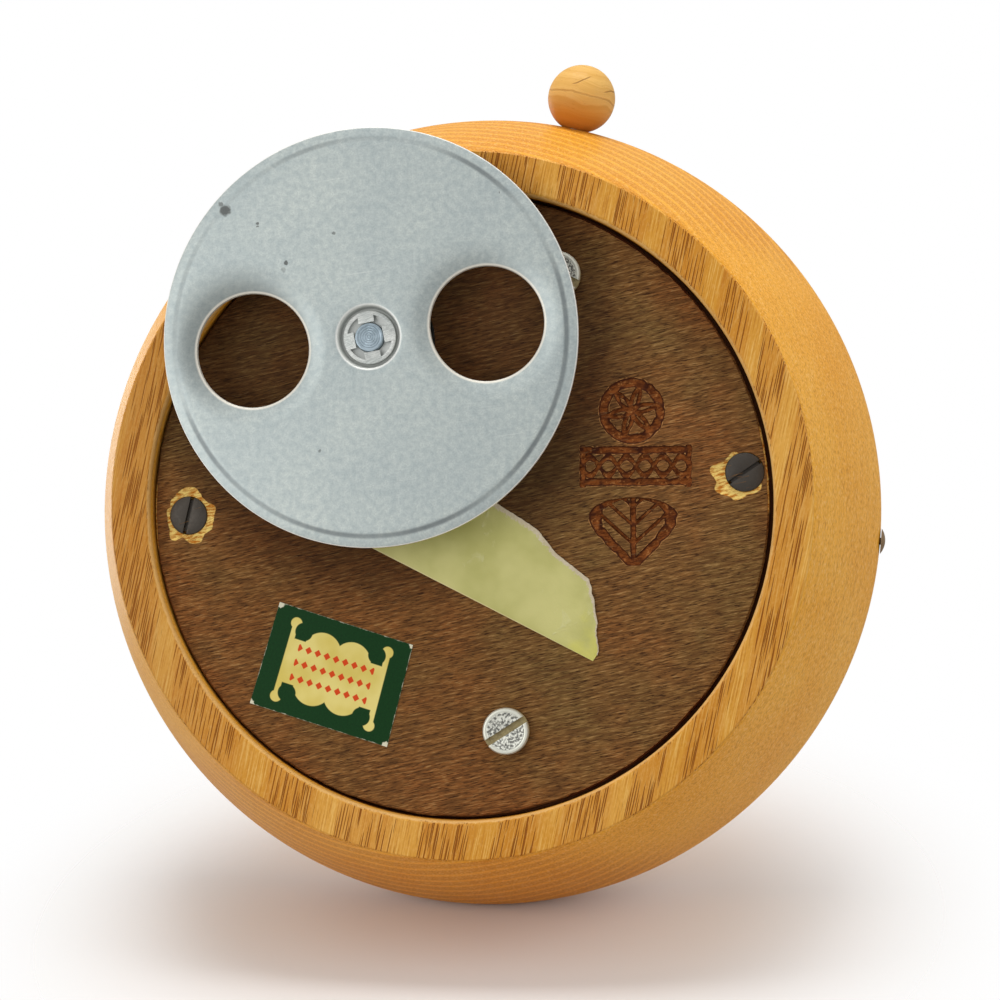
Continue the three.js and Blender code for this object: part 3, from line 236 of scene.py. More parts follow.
def mixed(tree, factor, first, second):
    """The first colour where the factor is 0, and the second where it is 1."""
    values = {"Factor_Float": factor, "A_Color": first, "B_Color": second}
    return socket_of(add(tree, "ShaderNodeMix", values, data_type="RGBA").outputs, "Result_Color")


def layered(tree, colour, *layers):
    """A colour with layers over it, each a mask with a tone or with another colour."""
    for mask, paint in layers:
        is_colour = isinstance(paint, bpy.types.NodeSocket)
        colour = mixed(tree, mask, colour, paint if is_colour else tone(*paint))
    return colour


def mixed_value(tree, factor, first, second):
    values = {"Factor_Float": factor, "A_Float": first, "B_Float": second}
    return add(tree, "ShaderNodeMix", values).outputs[0]


def placed(tree, name, values):
    """Puts a finished group into another tree and gives its outputs."""
    group = bpy.data.node_groups[name]
    in_shader = group.bl_idname == "ShaderNodeTree"
    node = tree.nodes.new("ShaderNodeGroup" if in_shader else "GeometryNodeGroup")
    node.node_tree = group
    for key, value in values.items():
        if isinstance(value, bpy.types.NodeSocket):
            tree.links.new(value, node.inputs[key])
        else:
            node.inputs[key].default_value = value
    return node.outputs


print("helpers ready")

# %% [markdown]
# ## Light and floor
# The box stands on its edge on a white table and leans back, so the camera looks down at the table a
# little. In the model's frame the table is therefore a tilted plane against the round shoulder. It
# fades into the white background, and is clear from behind, so that it never hides the box in another
# view. The world gives most of the light, evenly, and is white where the camera sees it. Five wide soft
# lamps shape the box: the strongest is above, and weaker ones stand in front, at both sides and behind.
# One small lamp would give hard shadows. The table is white to the camera and in reflections but throws
# back less light, and warmer, so the wood above it stays deep.

# %% World, lamps and floor
scene = bpy.context.scene
scene.view_settings.view_transform = "Standard"
world = bpy.data.worlds.new("studio")
world.use_nodes = True
scene.world = world
sky = world.node_tree
rays = add(sky, "ShaderNodeLightPath").outputs
seen = larger(sky, rays["Is Camera Ray"], rays["Is Transmission Ray"])
even_light = 0.52
background = sky.nodes["Background"]
background.inputs["Color"].default_value = (1, 1, 1, 1)
sky.links.new(spread(sky, seen, 0.0, 1.0, even_light, 1.0), background.inputs["Strength"])


def soft_lamp(name, place, aim, wide, high, power):
    """A rectangular lamp that the camera doesn't see; its power is in watts."""
    light = bpy.data.lights.new(name, "AREA")
    light.shape = "RECTANGLE"
    light.size, light.size_y, light.energy = mm(wide), mm(high), power
    lamp = linked(name, light)
    lamp.location = mm(*place)
    lamp.rotation_euler = (mm(*aim) - lamp.location).to_track_quat("-Z", "Y").to_euler()
    lamp.visible_camera = False


soft_lamp("lamp_above", (20, 480, -60), (0, 0, 20), 300, 220, 1.5)
soft_lamp("lamp_front", (60, 360, -400), (0, 0, 0), 400, 300, 0.15)
soft_lamp("lamp_right", (-460, 180, -100), (0, 0, 20), 320, 320, 0.5)
soft_lamp("lamp_left", (290, 0, -400), (0, 0, 0), 280, 280, 0.6)
soft_lamp("lamp_behind", (420, 60, 420), (0, 0, 30), 260, 260, 0.5)

table_tilt, table_reach = math.radians(20), 600
shoulder_out, shoulder_height, shoulder_radius, gap = 59.93, 38.0, 8.97, 0.10
clearance = shoulder_radius + gap
touch = mm(0, -shoulder_out - clearance * math.cos(table_tilt),
           shoulder_height + clearance * math.sin(table_tilt))
away = Vector((0, math.sin(table_tilt), math.cos(table_tilt)))
corners = [touch + mm(x * table_reach, 0, 0) + mm(back * table_reach) * away
           for x, back in ((-1, -1), (1, -1), (1, 1), (-1, 1))]
floor_mesh = bpy.data.meshes.new("table_top")
floor_mesh.from_pydata(corners, [], [(0, 1, 2, 3)])
if floor_mesh.polygons[0].normal.y < 0:
    floor_mesh.flip_normals()
table_top = linked("table_top", floor_mesh)

# %% [markdown]
# The table's material mixes its white shader with a transparent one. The mix grows with the distance
# from where the box touches the table, and is full for rays that meet the back of the plane.

# %% White table that fades out
paper = bpy.data.materials.new("white_table")
paper.use_nodes = True
tree = paper.node_tree
shader = tree.nodes["Principled BSDF"]
shader.inputs["Roughness"].default_value = 0.9
path = add(tree, "ShaderNodeLightPath").outputs
shown_white = larger(tree, path["Is Camera Ray"], path["Is Glossy Ray"])
white, thrown_back = tone(243, 240, 237), tone(204, 180, 146)
tree.links.new(mixed(tree, shown_white, thrown_back, white), shader.inputs["Base Color"])
geometry = add(tree, "ShaderNodeNewGeometry").outputs
fade_start, fade_end = mm(40), mm(100)
far = spread(tree, vectors(tree, "DISTANCE", geometry["Position"], touch), fade_start, fade_end)
gone = larger(tree, far, geometry["Backfacing"])
clear = add(tree, "ShaderNodeBsdfTransparent").outputs[0]
shown = add(tree, "ShaderNodeMixShader", {0: gone, 1: shader.outputs[0], 2: clear}).outputs[0]
tree.links.new(shown, tree.nodes["Material Output"].inputs["Surface"])
floor_mesh.materials.append(paper)
table_top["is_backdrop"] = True
print("table fades out between", fade_start, "and", fade_end, "m from where the box touches it")

# %% [markdown]
# ## Effects that several finishes share
# Fibres, brush marks, specks and slow changes of tone turn up on more than one piece. Each is a shader
# group with named inputs, built once. They take a place in millimetres, so that every size in a
# material can be read off the real thing with a ruler.

# %% Shader groups: streaks, specks and tone
def streaks_group():
    """Short fibres or brush marks that lie along X."""
    tree, given, made = new_tree("Streaks", "ShaderNodeTree", [
        ("Place", "Vector"), ("Length", "Float", 4.0), ("Width", "Float", 0.3), ("Seed", "Float", 0.0),
    ], [("Value", "Float")])
    size = vector_of(tree, given["Length"], given["Width"], given["Width"])
    shift = scaled(tree, vector_of(tree, given["Seed"], given["Seed"]), 7.3)
    place = vectors(tree, "ADD", vectors(tree, "DIVIDE", given["Place"], size), shift)
    tree.links.new(grainy(tree, place, 1.0, 3.0, 0.55, 0.15), made["Value"])


def specks_group():
    """Scattered dots of uneven size, one in some of the cells of an even spacing."""
    tree, given, made = new_tree("Specks", "ShaderNodeTree", [
        ("Place", "Vector"), ("Spacing", "Float", 3.0), ("Share", "Float", 0.3), ("Size", "Float", 0.12),
    ], [("Mask", "Float")])
    uneven = vectors(tree, "ADD", given["Place"], grainy_vector(tree, given["Place"], 4.0, 0.25))
    place = vectors(tree, "DIVIDE", uneven, vector_of(tree, *[given["Spacing"]] * 3))
    cells = add(tree, "ShaderNodeTexVoronoi", {"Vector": place, "Scale": 1.0}).outputs
    draw = add(tree, "ShaderNodeSeparateColor", {0: cells["Color"]}).outputs
    chosen = maths(tree, "LESS_THAN", draw["Red"], given["Share"])
    size = times(tree, given["Size"], plus(tree, draw["Green"], 0.35))
    dot = spread(tree, divided(tree, cells["Distance"], size), 1.0, 0.6)
    tree.links.new(times(tree, dot, chosen), made["Mask"])


def tone_group():
    """A slow, cloudy change between 0 and 1."""
    tree, given, made = new_tree("Slow tone", "ShaderNodeTree", [
        ("Place", "Vector"), ("Size", "Float", 20.0), ("Softness", "Float", 0.25),
    ], [("Value", "Float")])
    cloud = grainy(tree, given["Place"], divided(tree, 1.0, given["Size"]), 3.0, 0.55)
    low = minus(tree, 0.5, given["Softness"])
    high = plus(tree, 0.5, given["Softness"])
    tree.links.new(spread(tree, cloud, low, high), made["Value"])


streaks_group()
specks_group()
tone_group()


def streaks(tree, place, length, width, seed=0.0):
    values = {"Place": place, "Length": length, "Width": width, "Seed": seed}
    return placed(tree, "Streaks", values)["Value"]


def specks(tree, place, spacing, share, size):
    values = {"Place": place, "Spacing": spacing, "Share": share, "Size": size}
    return placed(tree, "Specks", values)["Mask"]


def slow_tone(tree, place, size, softness=0.25):
    values = {"Place": place, "Size": size, "Softness": softness}
    return placed(tree, "Slow tone", values)["Value"]


print("shared groups:", [g.name for g in bpy.data.node_groups])

# %% [markdown]
# The wood is ring-porous: each year's ring starts with a band of open pores and goes on dense and
# smooth. Cut along the grain a pore is a dark dash, and cut across it is a dot. A solid texture gives
# both from one rule, where an image would have to be wrapped round the turning. The group takes a place
# whose Y runs along the grain and draws rings about a distant pith. The pores are the middles of a
# Voronoi texture's cells, which are stretched along the grain, so that each is one thin dash. They are
# wider in the early band. Blots cut from a noise would be uneven and run together.

# %% Shader group: ring-porous wood
def pore_group():
    """Where a place has a pore, how far it is in the early band, and light and dark flecks."""
    tree, given, made = new_tree("Ring-porous wood", "ShaderNodeTree", [
        ("Place", "Vector"), ("Ring", "Float", 3.4), ("Pith", "Vector"), ("Pore length", "Float", 12.0),
        ("Pore spacing", "Float", 0.27),
    ], [("Pore", "Float"), ("Line", "Float"), ("Fleck", "Float")])
    place = given["Place"]
    drift = grainy(tree, vectors(tree, "DIVIDE", place, (26.0, 90.0, 26.0)), 1.0)
    off_pith = vectors(tree, "SUBTRACT", place, given["Pith"])
    across_grain = vectors(tree, "MULTIPLY", off_pith, (1.0, 0.0, 1.0))
    radius = plus(tree, vectors(tree, "LENGTH", across_grain), times(tree, drift, 5.0))
    year = maths(tree, "FRACT", divided(tree, radius, given["Ring"]))
    early = minus(tree, spread(tree, year, 0.0, 0.08), spread(tree, year, 0.64, 0.82))
    size = vector_of(tree, given["Pore spacing"], given["Pore length"], given["Pore spacing"])
    stretched = vectors(tree, "DIVIDE", place, size)
    cells = add(tree, "ShaderNodeTexVoronoi", {"Vector": stretched, "Scale": 1.0, "Randomness": 0.8}).outputs
    wide = plus(tree, times(tree, early, 0.29), 0.10)
    pore = spread(tree, minus(tree, cells["Distance"], wide), 0.0, -0.10)
    dots = grainy(tree, vectors(tree, "DIVIDE", place, (0.36, 0.8, 0.36)), 1.0, 2.0, 0.6)
    tree.links.new(pore, made["Pore"])
    tree.links.new(early, made["Line"])
    tree.links.new(dots, made["Fleck"])


pore_group()
print("wood group ready")

# %% [markdown]
# ## Finishes
# Every material starts from the same place in millimetres and ends in one Principled shader. The next
# helper gives both, and joins colour, roughness and height to the shader.

# %% Helper for materials
def finish(name, roughness=0.5, metallic=0.0, **plain):
    """A new material: its tree, its place in millimetres and its shader."""
    material = bpy.data.materials.new(name)
    material.use_nodes = True
    tree = material.node_tree
    shader = tree.nodes["Principled BSDF"]
    shader.inputs["Roughness"].default_value = roughness
    shader.inputs["Metallic"].default_value = metallic
    for key, value in plain.items():
        shader.inputs[key.replace("_", " ")].default_value = value
    place = scaled(tree, add(tree, "ShaderNodeTexCoord").outputs["Object"], 1000.0)
    return material, tree, place, shader


def join(tree, shader, colour, height=None, depth=0.1, roughness=None):
    """Links colour, roughness and height to the shader; the depth of the height is in millimetres."""
    tree.links.new(colour, shader.inputs["Base Color"])
    if height is not None:
        bump = add(tree, "ShaderNodeBump", {"Height": height, "Distance": mm(depth), "Strength": 1.0})
        tree.links.new(bump.outputs[0], shader.inputs["Normal"])
    if roughness is not None:
        tree.links.new(roughness, shader.inputs["Roughness"])


def turned_place(tree, place, degrees):
    """The place turned about Z, so that streaks along X lie at another angle."""
    return add(tree, "ShaderNodeVectorRotate", {"Vector": place, "Angle": math.radians(degrees)},
               rotation_type="Z_AXIS").outputs[0]


print("material helpers ready")

# %% [markdown]
# The body's wood is a warm honey colour under a thin satin varnish. Pores are darker and sunk a little,
# early bands are a shade redder, and the whole drifts slowly between yellow and orange. The flat rim
# shows its pores more than the wall does, with long pale and dark fibres; it is darker towards one side
# and paler in a ragged band along the lip of the recess. The wall of the recess, in the narrow gap beside
# the plywood, carries painted shade. The lathe left fine rings, which show as faint lines in the varnish.

# %% Honey wood
grain_lean, ring_width, pith_place, lip = -12.0, 3.4, (93.0, 0.0, -300.0), 51.6


def honey_wood():
    material, tree, place, shader = finish("honey_wood", 0.5, Specular_IOR_Level=0.14, Coat_Weight=0.05,
                                           Coat_Roughness=0.3)
    along = turned_place(tree, place, grain_lean)
    wood = placed(tree, "Ring-porous wood", {"Place": along, "Ring": ring_width, "Pith": pith_place})
    axes, grain_axes = axes_of(tree, place), axes_of(tree, along)
    # Where the wood is cut flat: the rim, and more softly the far side. Then where the wall is end grain.
    rim = spread(tree, axes["Z"], 5.6, 5.1)
    flat_cut = larger(tree, rim, spread(tree, axes["Z"], 42.0, 46.4, 0.0, 0.8))
    end_grain = spread(tree, size_of(tree, grain_axes["Y"]), 44.0, 60.0)
    # The ground colour of wall and rim.
    slow = slow_tone(tree, along, 30.0)
    wall_tone = mixed(tree, slow, tone(236, 162, 34), tone(246, 180, 62))
    rim_tone = mixed(tree, slow, tone(215, 148, 45), tone(232, 173, 79))
    ground = mixed(tree, rim, wall_tone, rim_tone)
    # Pale and deep fibres on the rim.
    fibres = streaks(tree, turned_place(tree, along, 90.0), 7.0, 0.24)
    pale = times(tree, spread(tree, fibres, 0.52, 0.66, 0.0, 0.55), rim)
    deep = times(tree, spread(tree, fibres, 0.46, 0.34, 0.0, 0.5), rim)
    # Year rings, flecks and pores.
    wall_line = spread(tree, end_grain, 0.0, 1.0, 0.04, 0.40)
    line = times(tree, wood["Line"], mixed_value(tree, flat_cut, wall_line, 0.28))
    bright_share, dull_share = [spread(tree, flat_cut, 0.0, 1.0, most, 0.12) for most in (0.45, 0.42)]
    bright = times(tree, spread(tree, wood["Fleck"], 0.52, 0.66), bright_share)
    dull = times(tree, spread(tree, wood["Fleck"], 0.48, 0.34), dull_share)
    pore = times(tree, wood["Pore"], spread(tree, flat_cut, 0.0, 1.0, 0.2, 0.9))
    # Darker towards one side of the rim.
    darker_side = times(tree, rim, spread(tree, axes["X"], 30.0, 56.0, 0.0, 0.3))
    # A pale ragged band along the lip, and painted shade on the wall of the recess in the narrow gap beside
    # the plywood, deeper towards one side.
    reach = vectors(tree, "LENGTH", vectors(tree, "MULTIPLY", place, (1.0, 1.0, 0.0)))
    ragged = plus(tree, reach, times(tree, grainy(tree, place, 1.1, 3.0, 0.6), 0.5))
    at_lip = times(tree, spread(tree, ragged, lip + 0.75, lip + 0.5), spread(tree, axes["Z"], 6.6, 5.8))
    gap_wall = times(tree, spread(tree, axes["Z"], 7.2, 8.0), spread(tree, axes["Z"], 13.0, 12.4))
    inside = times(tree, gap_wall, spread(tree, reach, lip + 0.6, lip + 0.3))
    gap_shade = times(tree, inside, spread(tree, axes["X"], 50.0, 20.0, 0.5, 0.92))
    colour = layered(tree, ground, (pale, (248, 202, 116)), (deep, (178, 106, 26)), (line, (188, 104, 18)),
                     (bright, (250, 206, 134)), (dull, (178, 110, 30)), (pore, (142, 76, 14)),
                     (darker_side, (150, 88, 22)), (times(tree, at_lip, 0.7), (236, 188, 118)),
                     (gap_shade, (112, 52, 22)))
    # Lathe rings and sunk pores.
    lathe = grainy_line(tree, axes["Z"], 2.2, 2.0)
    height = minus(tree, times(tree, lathe, 0.08), pore)
    join(tree, shader, colour, height, 0.06, spread(tree, pore, 0.0, 1.0, 0.46, 0.75))
    return material


body_wood = honey_wood()
print("wood finish ready")

# %% [markdown]
# The base is cheap plywood, stained dark and left rough. Its surface is a felt of short fibres that run
# one way, some light and some nearly black. Where the screws were driven the stain has chipped off, and
# the burnt ornament is redder than the stain. Both lie below the face, so the material can tell them by
# their depth.

# %% Stained plywood
base_face = 8.0
ornament_place = (-29.2, 4.5)
cover_screw_places = [(45.64, -1.65), (-46.91, 4.99)]
movement_turn = Matrix.Rotation(math.radians(6.49), 4, "Z")
shaft_place = movement_turn @ Vector((16.5, 25.3, 0))


def flat_distance(tree, place, x, y):
    """How far a place is from an upright line through a point."""
    return vectors(tree, "DISTANCE", vectors(tree, "MULTIPLY", place, (1.0, 1.0, 0.0)), (x, y, 0.0))


def nearest(tree, place, points):
    """How far a place is from the nearest of several upright lines."""
    least, *others = [flat_distance(tree, place, point[0], point[1]) for point in points]
    for distance in others:
        least = smaller(tree, least, distance)
    return least


def stained_plywood():
    material, tree, place, shader = finish("stained_plywood", 0.8, Specular_IOR_Level=0.15)
    along = turned_place(tree, place, -grain_lean)
    long_fibres = streaks(tree, along, 4.5, 0.40)
    short_fibres = streaks(tree, along, 1.5, 0.15, 3.0)
    ground = mixed(tree, slow_tone(tree, along, 16.0, 0.2), tone(130, 99, 54), tone(146, 92, 46))
    brown = spread(tree, long_fibres, 0.60, 0.36, 0.0, 0.8)
    black = spread(tree, short_fibres, 0.50, 0.32, 0.0, 0.9)
    light = times(tree, spread(tree, short_fibres, 0.54, 0.66), spread(tree, long_fibres, 0.40, 0.60))
    # Painted shade: darker under the disc, where the disc keeps the light off.
    disc_shade = spread(tree, flat_distance(tree, place, shaft_place.x - 2, shaft_place.y - 4), 43.0, 33.0)
    # Fresh wood in the chips, which are sunk and near a screw.
    depth = axes_of(tree, place)["Z"]
    sunk = spread(tree, depth, base_face + 0.015, base_face + 0.12)
    near = spread(tree, nearest(tree, place, cover_screw_places), 8.0, 7.0)
    splinter = grainy(tree, vectors(tree, "MULTIPLY", along, (0.7, 2.6, 1.0)), 1.0, 3.0, 0.65)
    fresh = mixed(tree, spread(tree, splinter, 0.36, 0.62), tone(196, 118, 34), tone(255, 222, 128))
    # The ornament: pale edges, partly torn fibres and partly a painted highlight, burnt walls darkened as
    # painted shade, and char where it is deepest.
    aside = size_of(tree, minus(tree, axes_of(tree, place)["X"], ornament_place[0]))
    scorched = spread(tree, aside, 11.5, 10.8)
    edges = times(tree, spread(tree, depth, base_face + 0.004, base_face + 0.03), scorched)
    torn = times(tree, edges, spread(tree, grainy(tree, place, 1.5, 2.0), 0.45, 0.6))
    burnt = times(tree, spread(tree, depth, base_face + 0.05, base_face + 0.12), scorched)
    deep = times(tree, spread(tree, depth, base_face + 0.16, base_face + 0.42), scorched)
    bare_spots = spread(tree, grainy(tree, place, 1.3, 3.0, 0.7), 0.56, 0.66, 0.0, 0.75)
    char = mixed(tree, spread(tree, splinter, 0.35, 0.62), tone(96, 46, 16), tone(150, 84, 36))
    char = layered(tree, char, (bare_spots, (190, 128, 70)))
    colour = layered(tree, ground, (brown, (100, 66, 34)), (black, (52, 28, 14)),
                     (times(tree, light, 0.55), (190, 150, 94)), (times(tree, disc_shade, 0.55), (44, 22, 8)),
                     (times(tree, sunk, near), fresh), (torn, (196, 140, 82)), (burnt, (64, 26, 8)),
                     (deep, char))
    join(tree, shader, colour, plus(tree, long_fibres, times(tree, short_fibres, 0.9)), 0.2)
    return material


plywood = stained_plywood()
print("plywood ready")

# %% [markdown]
# Most metals here differ in tone, brushing, pits and roughness, not in kind. One recipe serves the dark
# screws, the washer, the shaft, the rod, the tack and the hidden movement, each with its own values.
# Brushing is a streak texture laid at an angle, and the pits are scattered specks, darker and sunk.

# %% Metals
def metal(name, light, dark, roughness, lean=0.0, brush=(9.0, 0.25), pits=0.10, pit_tone=(58, 54, 48),
          grit=0.0, metallic=0.85, cloud=14.0, brushing=0.12):
    """A brushed and pitted metal whose tone drifts between light and dark; grit makes it rougher."""
    material, tree, place, shader = finish(name, roughness, metallic)
    brushed = streaks(tree, turned_place(tree, place, lean), *brush)
    fine = grainy(tree, place, 2.6, 4.0, 0.7)
    pit = specks(tree, place, 5.0, pits, 0.06)
    ground = mixed(tree, slow_tone(tree, place, cloud, 0.3), tone(*dark), tone(*light))
    colour = layered(tree, ground, (spread(tree, fine, 0.35, 0.7, 0.0, 0.25), dark),
                     (spread(tree, brushed, 0.40, 0.62, brushing, 0.0), pit_tone),
                     (times(tree, pit, 0.75), pit_tone))
    height = minus(tree, times(tree, brushed, 0.3), pit)
    if grit:
        height = plus(tree, height, times(tree, grainy(tree, place, 5.5, 2.0, 0.6), grit))
    rough = spread(tree, fine, 0.3, 0.7, roughness - 0.06, roughness + 0.1)
    join(tree, shader, colour, height, 0.03, rough)
    return material


bright_steel = metal("bright_steel", (206, 204, 192), (160, 160, 150), 0.34, lean=30.0, brush=(3.0, 0.2),
                     pits=0.3, grit=0.6)
# The washer is nearly white and hardly metallic: a painted stand-in for the bright reflections of its spring
# steel.
washer_steel = metal("washer_steel", (252, 253, 248), (206, 212, 208), 0.4, lean=20.0, brush=(1.2, 0.12),
                     pits=0.7, pit_tone=(70, 74, 74), grit=1.2, metallic=0.12, cloud=2.5, brushing=0.3)
shaft_steel = metal("shaft_steel", (186, 202, 212), (132, 150, 160), 0.36, brush=(1.5, 0.15), pits=0.3,
                    metallic=0.4, cloud=2.0)
dark_steel = metal("dark_steel", (78, 71, 62), (58, 52, 46), 0.5, lean=65.0, brush=(5.0, 0.2), pits=0.12,
                   pit_tone=(44, 38, 34), grit=0.15, metallic=0.35)
blue_steel = metal("blue_steel", (96, 104, 118), (62, 68, 80), 0.32)
brass = metal("brass", (206, 168, 92), (176, 136, 66), 0.32, brush=(6.0, 0.2), pits=0.15,
              pit_tone=(92, 70, 34))
cast_zinc = metal("grey_casting", (156, 158, 156), (124, 126, 126), 0.55, brush=(1.0, 0.8), pits=0.3,
                  grit=1.0, metallic=0.6)
rusty_iron = metal("rusty_iron", (168, 138, 100), (112, 88, 58), 0.6, brush=(1.0, 0.5), pits=0.6,
                   pit_tone=(74, 44, 24), grit=1.5, metallic=0.35, cloud=4.0)
print("metals ready")

# %% [markdown]
# The disc is mild steel sheet with a dull zinc coat, and has a recipe of its own, because it covers a
# quarter of the box's underside. The coat is cool grey and mottled like frost, with pale scratches and a
# few dark marks in known places. Painted shade lies beside the finger holes, in the groove and inside the
# cup, and painted highlights lie on the worn edges and the lip of the cup. Every mark is a mask made from
# a distance.

# %% Zinc coat
disc_radius, band = 34.3, 1.6
hole_reach, hole_radius = 19.44, 9.33
hole_line = Matrix.Rotation(math.radians(-5.73), 4, "Z")
hole_middles = [shaft_place + hole_line @ Vector((side * hole_reach, 0, 0)) for side in (1, -1)]
disc_marks = [(37.5, 48.2, 1.15, 0.8), (38.3, 49.2, 0.5, 0.6), (31.94, 45.93, 0.3, 0.7),
              (32.0, 45.4, 0.22, 0.6), (27.23, 39.27, 0.42, 0.75), (27.6, 38.2, 0.5, 0.3),
              (19.24, 44.03, 0.28, 0.6), (-9.0, 33.8, 0.32, 0.6), (-2.6, 30.4, 0.25, 0.6),
              (21.5, 8.5, 0.3, 0.5)]


def zinc_coat():
    material, tree, place, shader = finish("zinc_sheet", 0.46, 0.55)
    frost = grainy(tree, place, 0.9, 4.0, 0.7)
    fine = grainy(tree, place, 3.6, 2.0, 0.6)
    ground = mixed(tree, slow_tone(tree, place, 16.0, 0.3), tone(192, 201, 199), tone(209, 216, 210))
    scratch = streaks(tree, turned_place(tree, place, 8.0), 16.0, 0.3)
    # Marks in known places, with uneven outlines.
    wobble = grainy_vector(tree, place, 1.6, 0.7)
    uneven = vectors(tree, "ADD", place, vectors(tree, "SUBTRACT", wobble, (0.35, 0.35, 0.35)))
    dark = times(tree, specks(tree, place, 4.0, 0.3, 0.05), 0.6)
    for x, y, radius, strength in disc_marks:
        spot = spread(tree, flat_distance(tree, uneven, x, y), radius, radius * 0.55, 0.0, strength)
        dark = larger(tree, dark, spot)
    colour = layered(tree, ground, (spread(tree, frost, 0.40, 0.62, 0.0, 0.5), (168, 180, 181)),
                     (spread(tree, fine, 0.34, 0.66, 0.30, 0.0), (118, 132, 138)),
                     (spread(tree, scratch, 0.66, 0.74, 0.0, 0.4), (222, 226, 220)), (dark, (60, 58, 54)))
    # Painted shade beside each finger hole, where the dished sheet dips away from the light, and a painted
    # highlight on its worn edge.
    for middle, strength in zip(hole_middles, (0.5, 0.2)):
        beside = flat_distance(tree, uneven, middle.x + 2.2, middle.y + 2.0)
        from_middle = flat_distance(tree, place, middle.x, middle.y)
        worn = spread(tree, from_middle, hole_radius + 0.55, hole_radius + 0.25)
        colour = layered(tree, colour, (spread(tree, beside, 13.5, 8.0, 0.0, strength), (108, 112, 108)),
                         (times(tree, worn, 0.7), (252, 244, 228)))
    # Painted shade in the groove inside the outer band, a painted highlight on the worn outer edge, and at
    # the cup a painted highlight on its lip with painted shade just inside.
    reach = flat_distance(tree, place, shaft_place.x, shaft_place.y)
    groove = size_of(tree, minus(tree, reach, disc_radius - band - 0.3))
    patchy = spread(tree, grainy(tree, place, 0.035, 1.0), 0.40, 0.60, 0.15, 0.75)
    groove_shade = times(tree, spread(tree, groove, 0.6, 0.15), patchy)
    outer_edge = spread(tree, reach, disc_radius - 0.22, disc_radius - 0.1, 0.0, 0.9)
    colour = layered(tree, colour, (groove_shade, (104, 110, 112)), (outer_edge, (255, 252, 244)),
                     (spread(tree, reach, 5.6, 5.3, 0.0, 0.8), (250, 250, 244)),
                     (spread(tree, reach, 5.15, 4.95, 0.0, 0.45), (104, 112, 112)))
    height = minus(tree, times(tree, frost, 0.8), dark)
    join(tree, shader, colour, height, 0.035, spread(tree, fine, 0.3, 0.7, 0.40, 0.52))
    return material


zinc = zinc_coat()

# %% [markdown]
# The cheese-head screws have a bright turned rim round a stippled middle, and old dirt in the slot. The
# distance from the screw's axis tells the rim, and the height of a place tells the slot from the face.

# %% Stippled screw head
movement_screw_places = [movement_turn @ Vector(place)
                         for place in ((-12.19, -35.9, 0), (-12.19, 39.1, 0), (32.9, 6.3, 0))]
head_thickness, head_gap = 1.6, 0.3
head_low = base_face - head_gap - head_thickness


def stippled_head():
    """Bright steel with a stippled middle and dirt in the slot."""
    material, tree, place, shader = finish("stippled_steel", 0.4, 0.55)
    stipple = grainy(tree, place, 2.6, 2.0, 0.55)
    inside = spread(tree, nearest(tree, place, movement_screw_places), 3.15, 2.95)
    skin = mixed(tree, spread(tree, stipple, 0.40, 0.60), tone(118, 118, 112), tone(236, 236, 224))
    dirt = spread(tree, axes_of(tree, place)["Z"], head_low + 0.25, head_low + 0.6)
    old = mixed(tree, grainy(tree, place, 1.4, 3.0), tone(104, 84, 44), tone(196, 180, 128))
    colour = layered(tree, mixed(tree, inside, tone(228, 228, 214), skin), (dirt, old))
    tree.links.new(minus(tree, 0.55, times(tree, dirt, 0.5)), shader.inputs["Metallic"])
    join(tree, shader, colour, times(tree, stipple, inside), 0.16)
    return material


stippled_steel = stippled_head()
print("zinc and screw heads ready")

# %% [markdown]
# ## Turned pieces
# The body, the ball, the disc, the screws and the shaft are all round. Spinning a profile with an
# operator would work once, but a Geometry Nodes tree can be used for each of them and keeps the rule in
# view: a grid has one row for each point of the profile and one column for each step round. Each of its
# points looks up its row's profile point and is turned by its column's angle.

# %% Geometry Nodes: a turned solid
def turned_tree():
    tree, given, made = geometry_tree("Turned solid", ("Steps", "Int", 128))
    sizes = add(tree, "GeometryNodeAttributeDomainSize", {"Geometry": given["Geometry"]})
    count = sizes.outputs["Point Count"]
    columns = add(tree, "FunctionNodeIntegerMath", {0: given["Steps"], 1: 1}, operation="ADD").outputs[0]
    grid = add(tree, "GeometryNodeMeshGrid", {"Vertices X": count, "Vertices Y": columns}).outputs["Mesh"]
    index = {0: add(tree, "GeometryNodeInputIndex").outputs[0], 1: columns}
    row = add(tree, "FunctionNodeIntegerMath", index, operation="DIVIDE_FLOOR").outputs[0]
    column = add(tree, "FunctionNodeIntegerMath", index, operation="MODULO").outputs[0]
    position = add(tree, "GeometryNodeInputPosition").outputs[0]
    looked_up = {"Geometry": given["Geometry"], "Value": position, "Index": row}
    profile = add(tree, "GeometryNodeSampleIndex", looked_up, data_type="FLOAT_VECTOR",
                  domain="POINT").outputs["Value"]
    angle = divided(tree, times(tree, column, 2 * math.pi), given["Steps"])
    wrapped = add(tree, "ShaderNodeVectorRotate", {"Vector": profile, "Angle": angle},
                  rotation_type="Z_AXIS").outputs[0]
    moved = add(tree, "GeometryNodeSetPosition", {"Geometry": grid, "Position": wrapped}).outputs[0]
    welded = add(tree, "GeometryNodeMergeByDistance", {"Geometry": moved, "Distance": mm(0.002)}).outputs[0]
    return ended(tree, welded, given, made)


turned_solid = turned_tree()
print("tree:", turned_solid.name)

# %% [markdown]
# A tree is run by a modifier, whose inputs are set by the socket's identifier. The evaluated result is
# then copied into a plain mesh, so that the finished piece carries no live modifier. Booleans and
# bevels are run and copied in the same way. The helper named piece makes the finished object, hangs it
# on the body that it rides on, and hides the nodes of the model that it stands for.

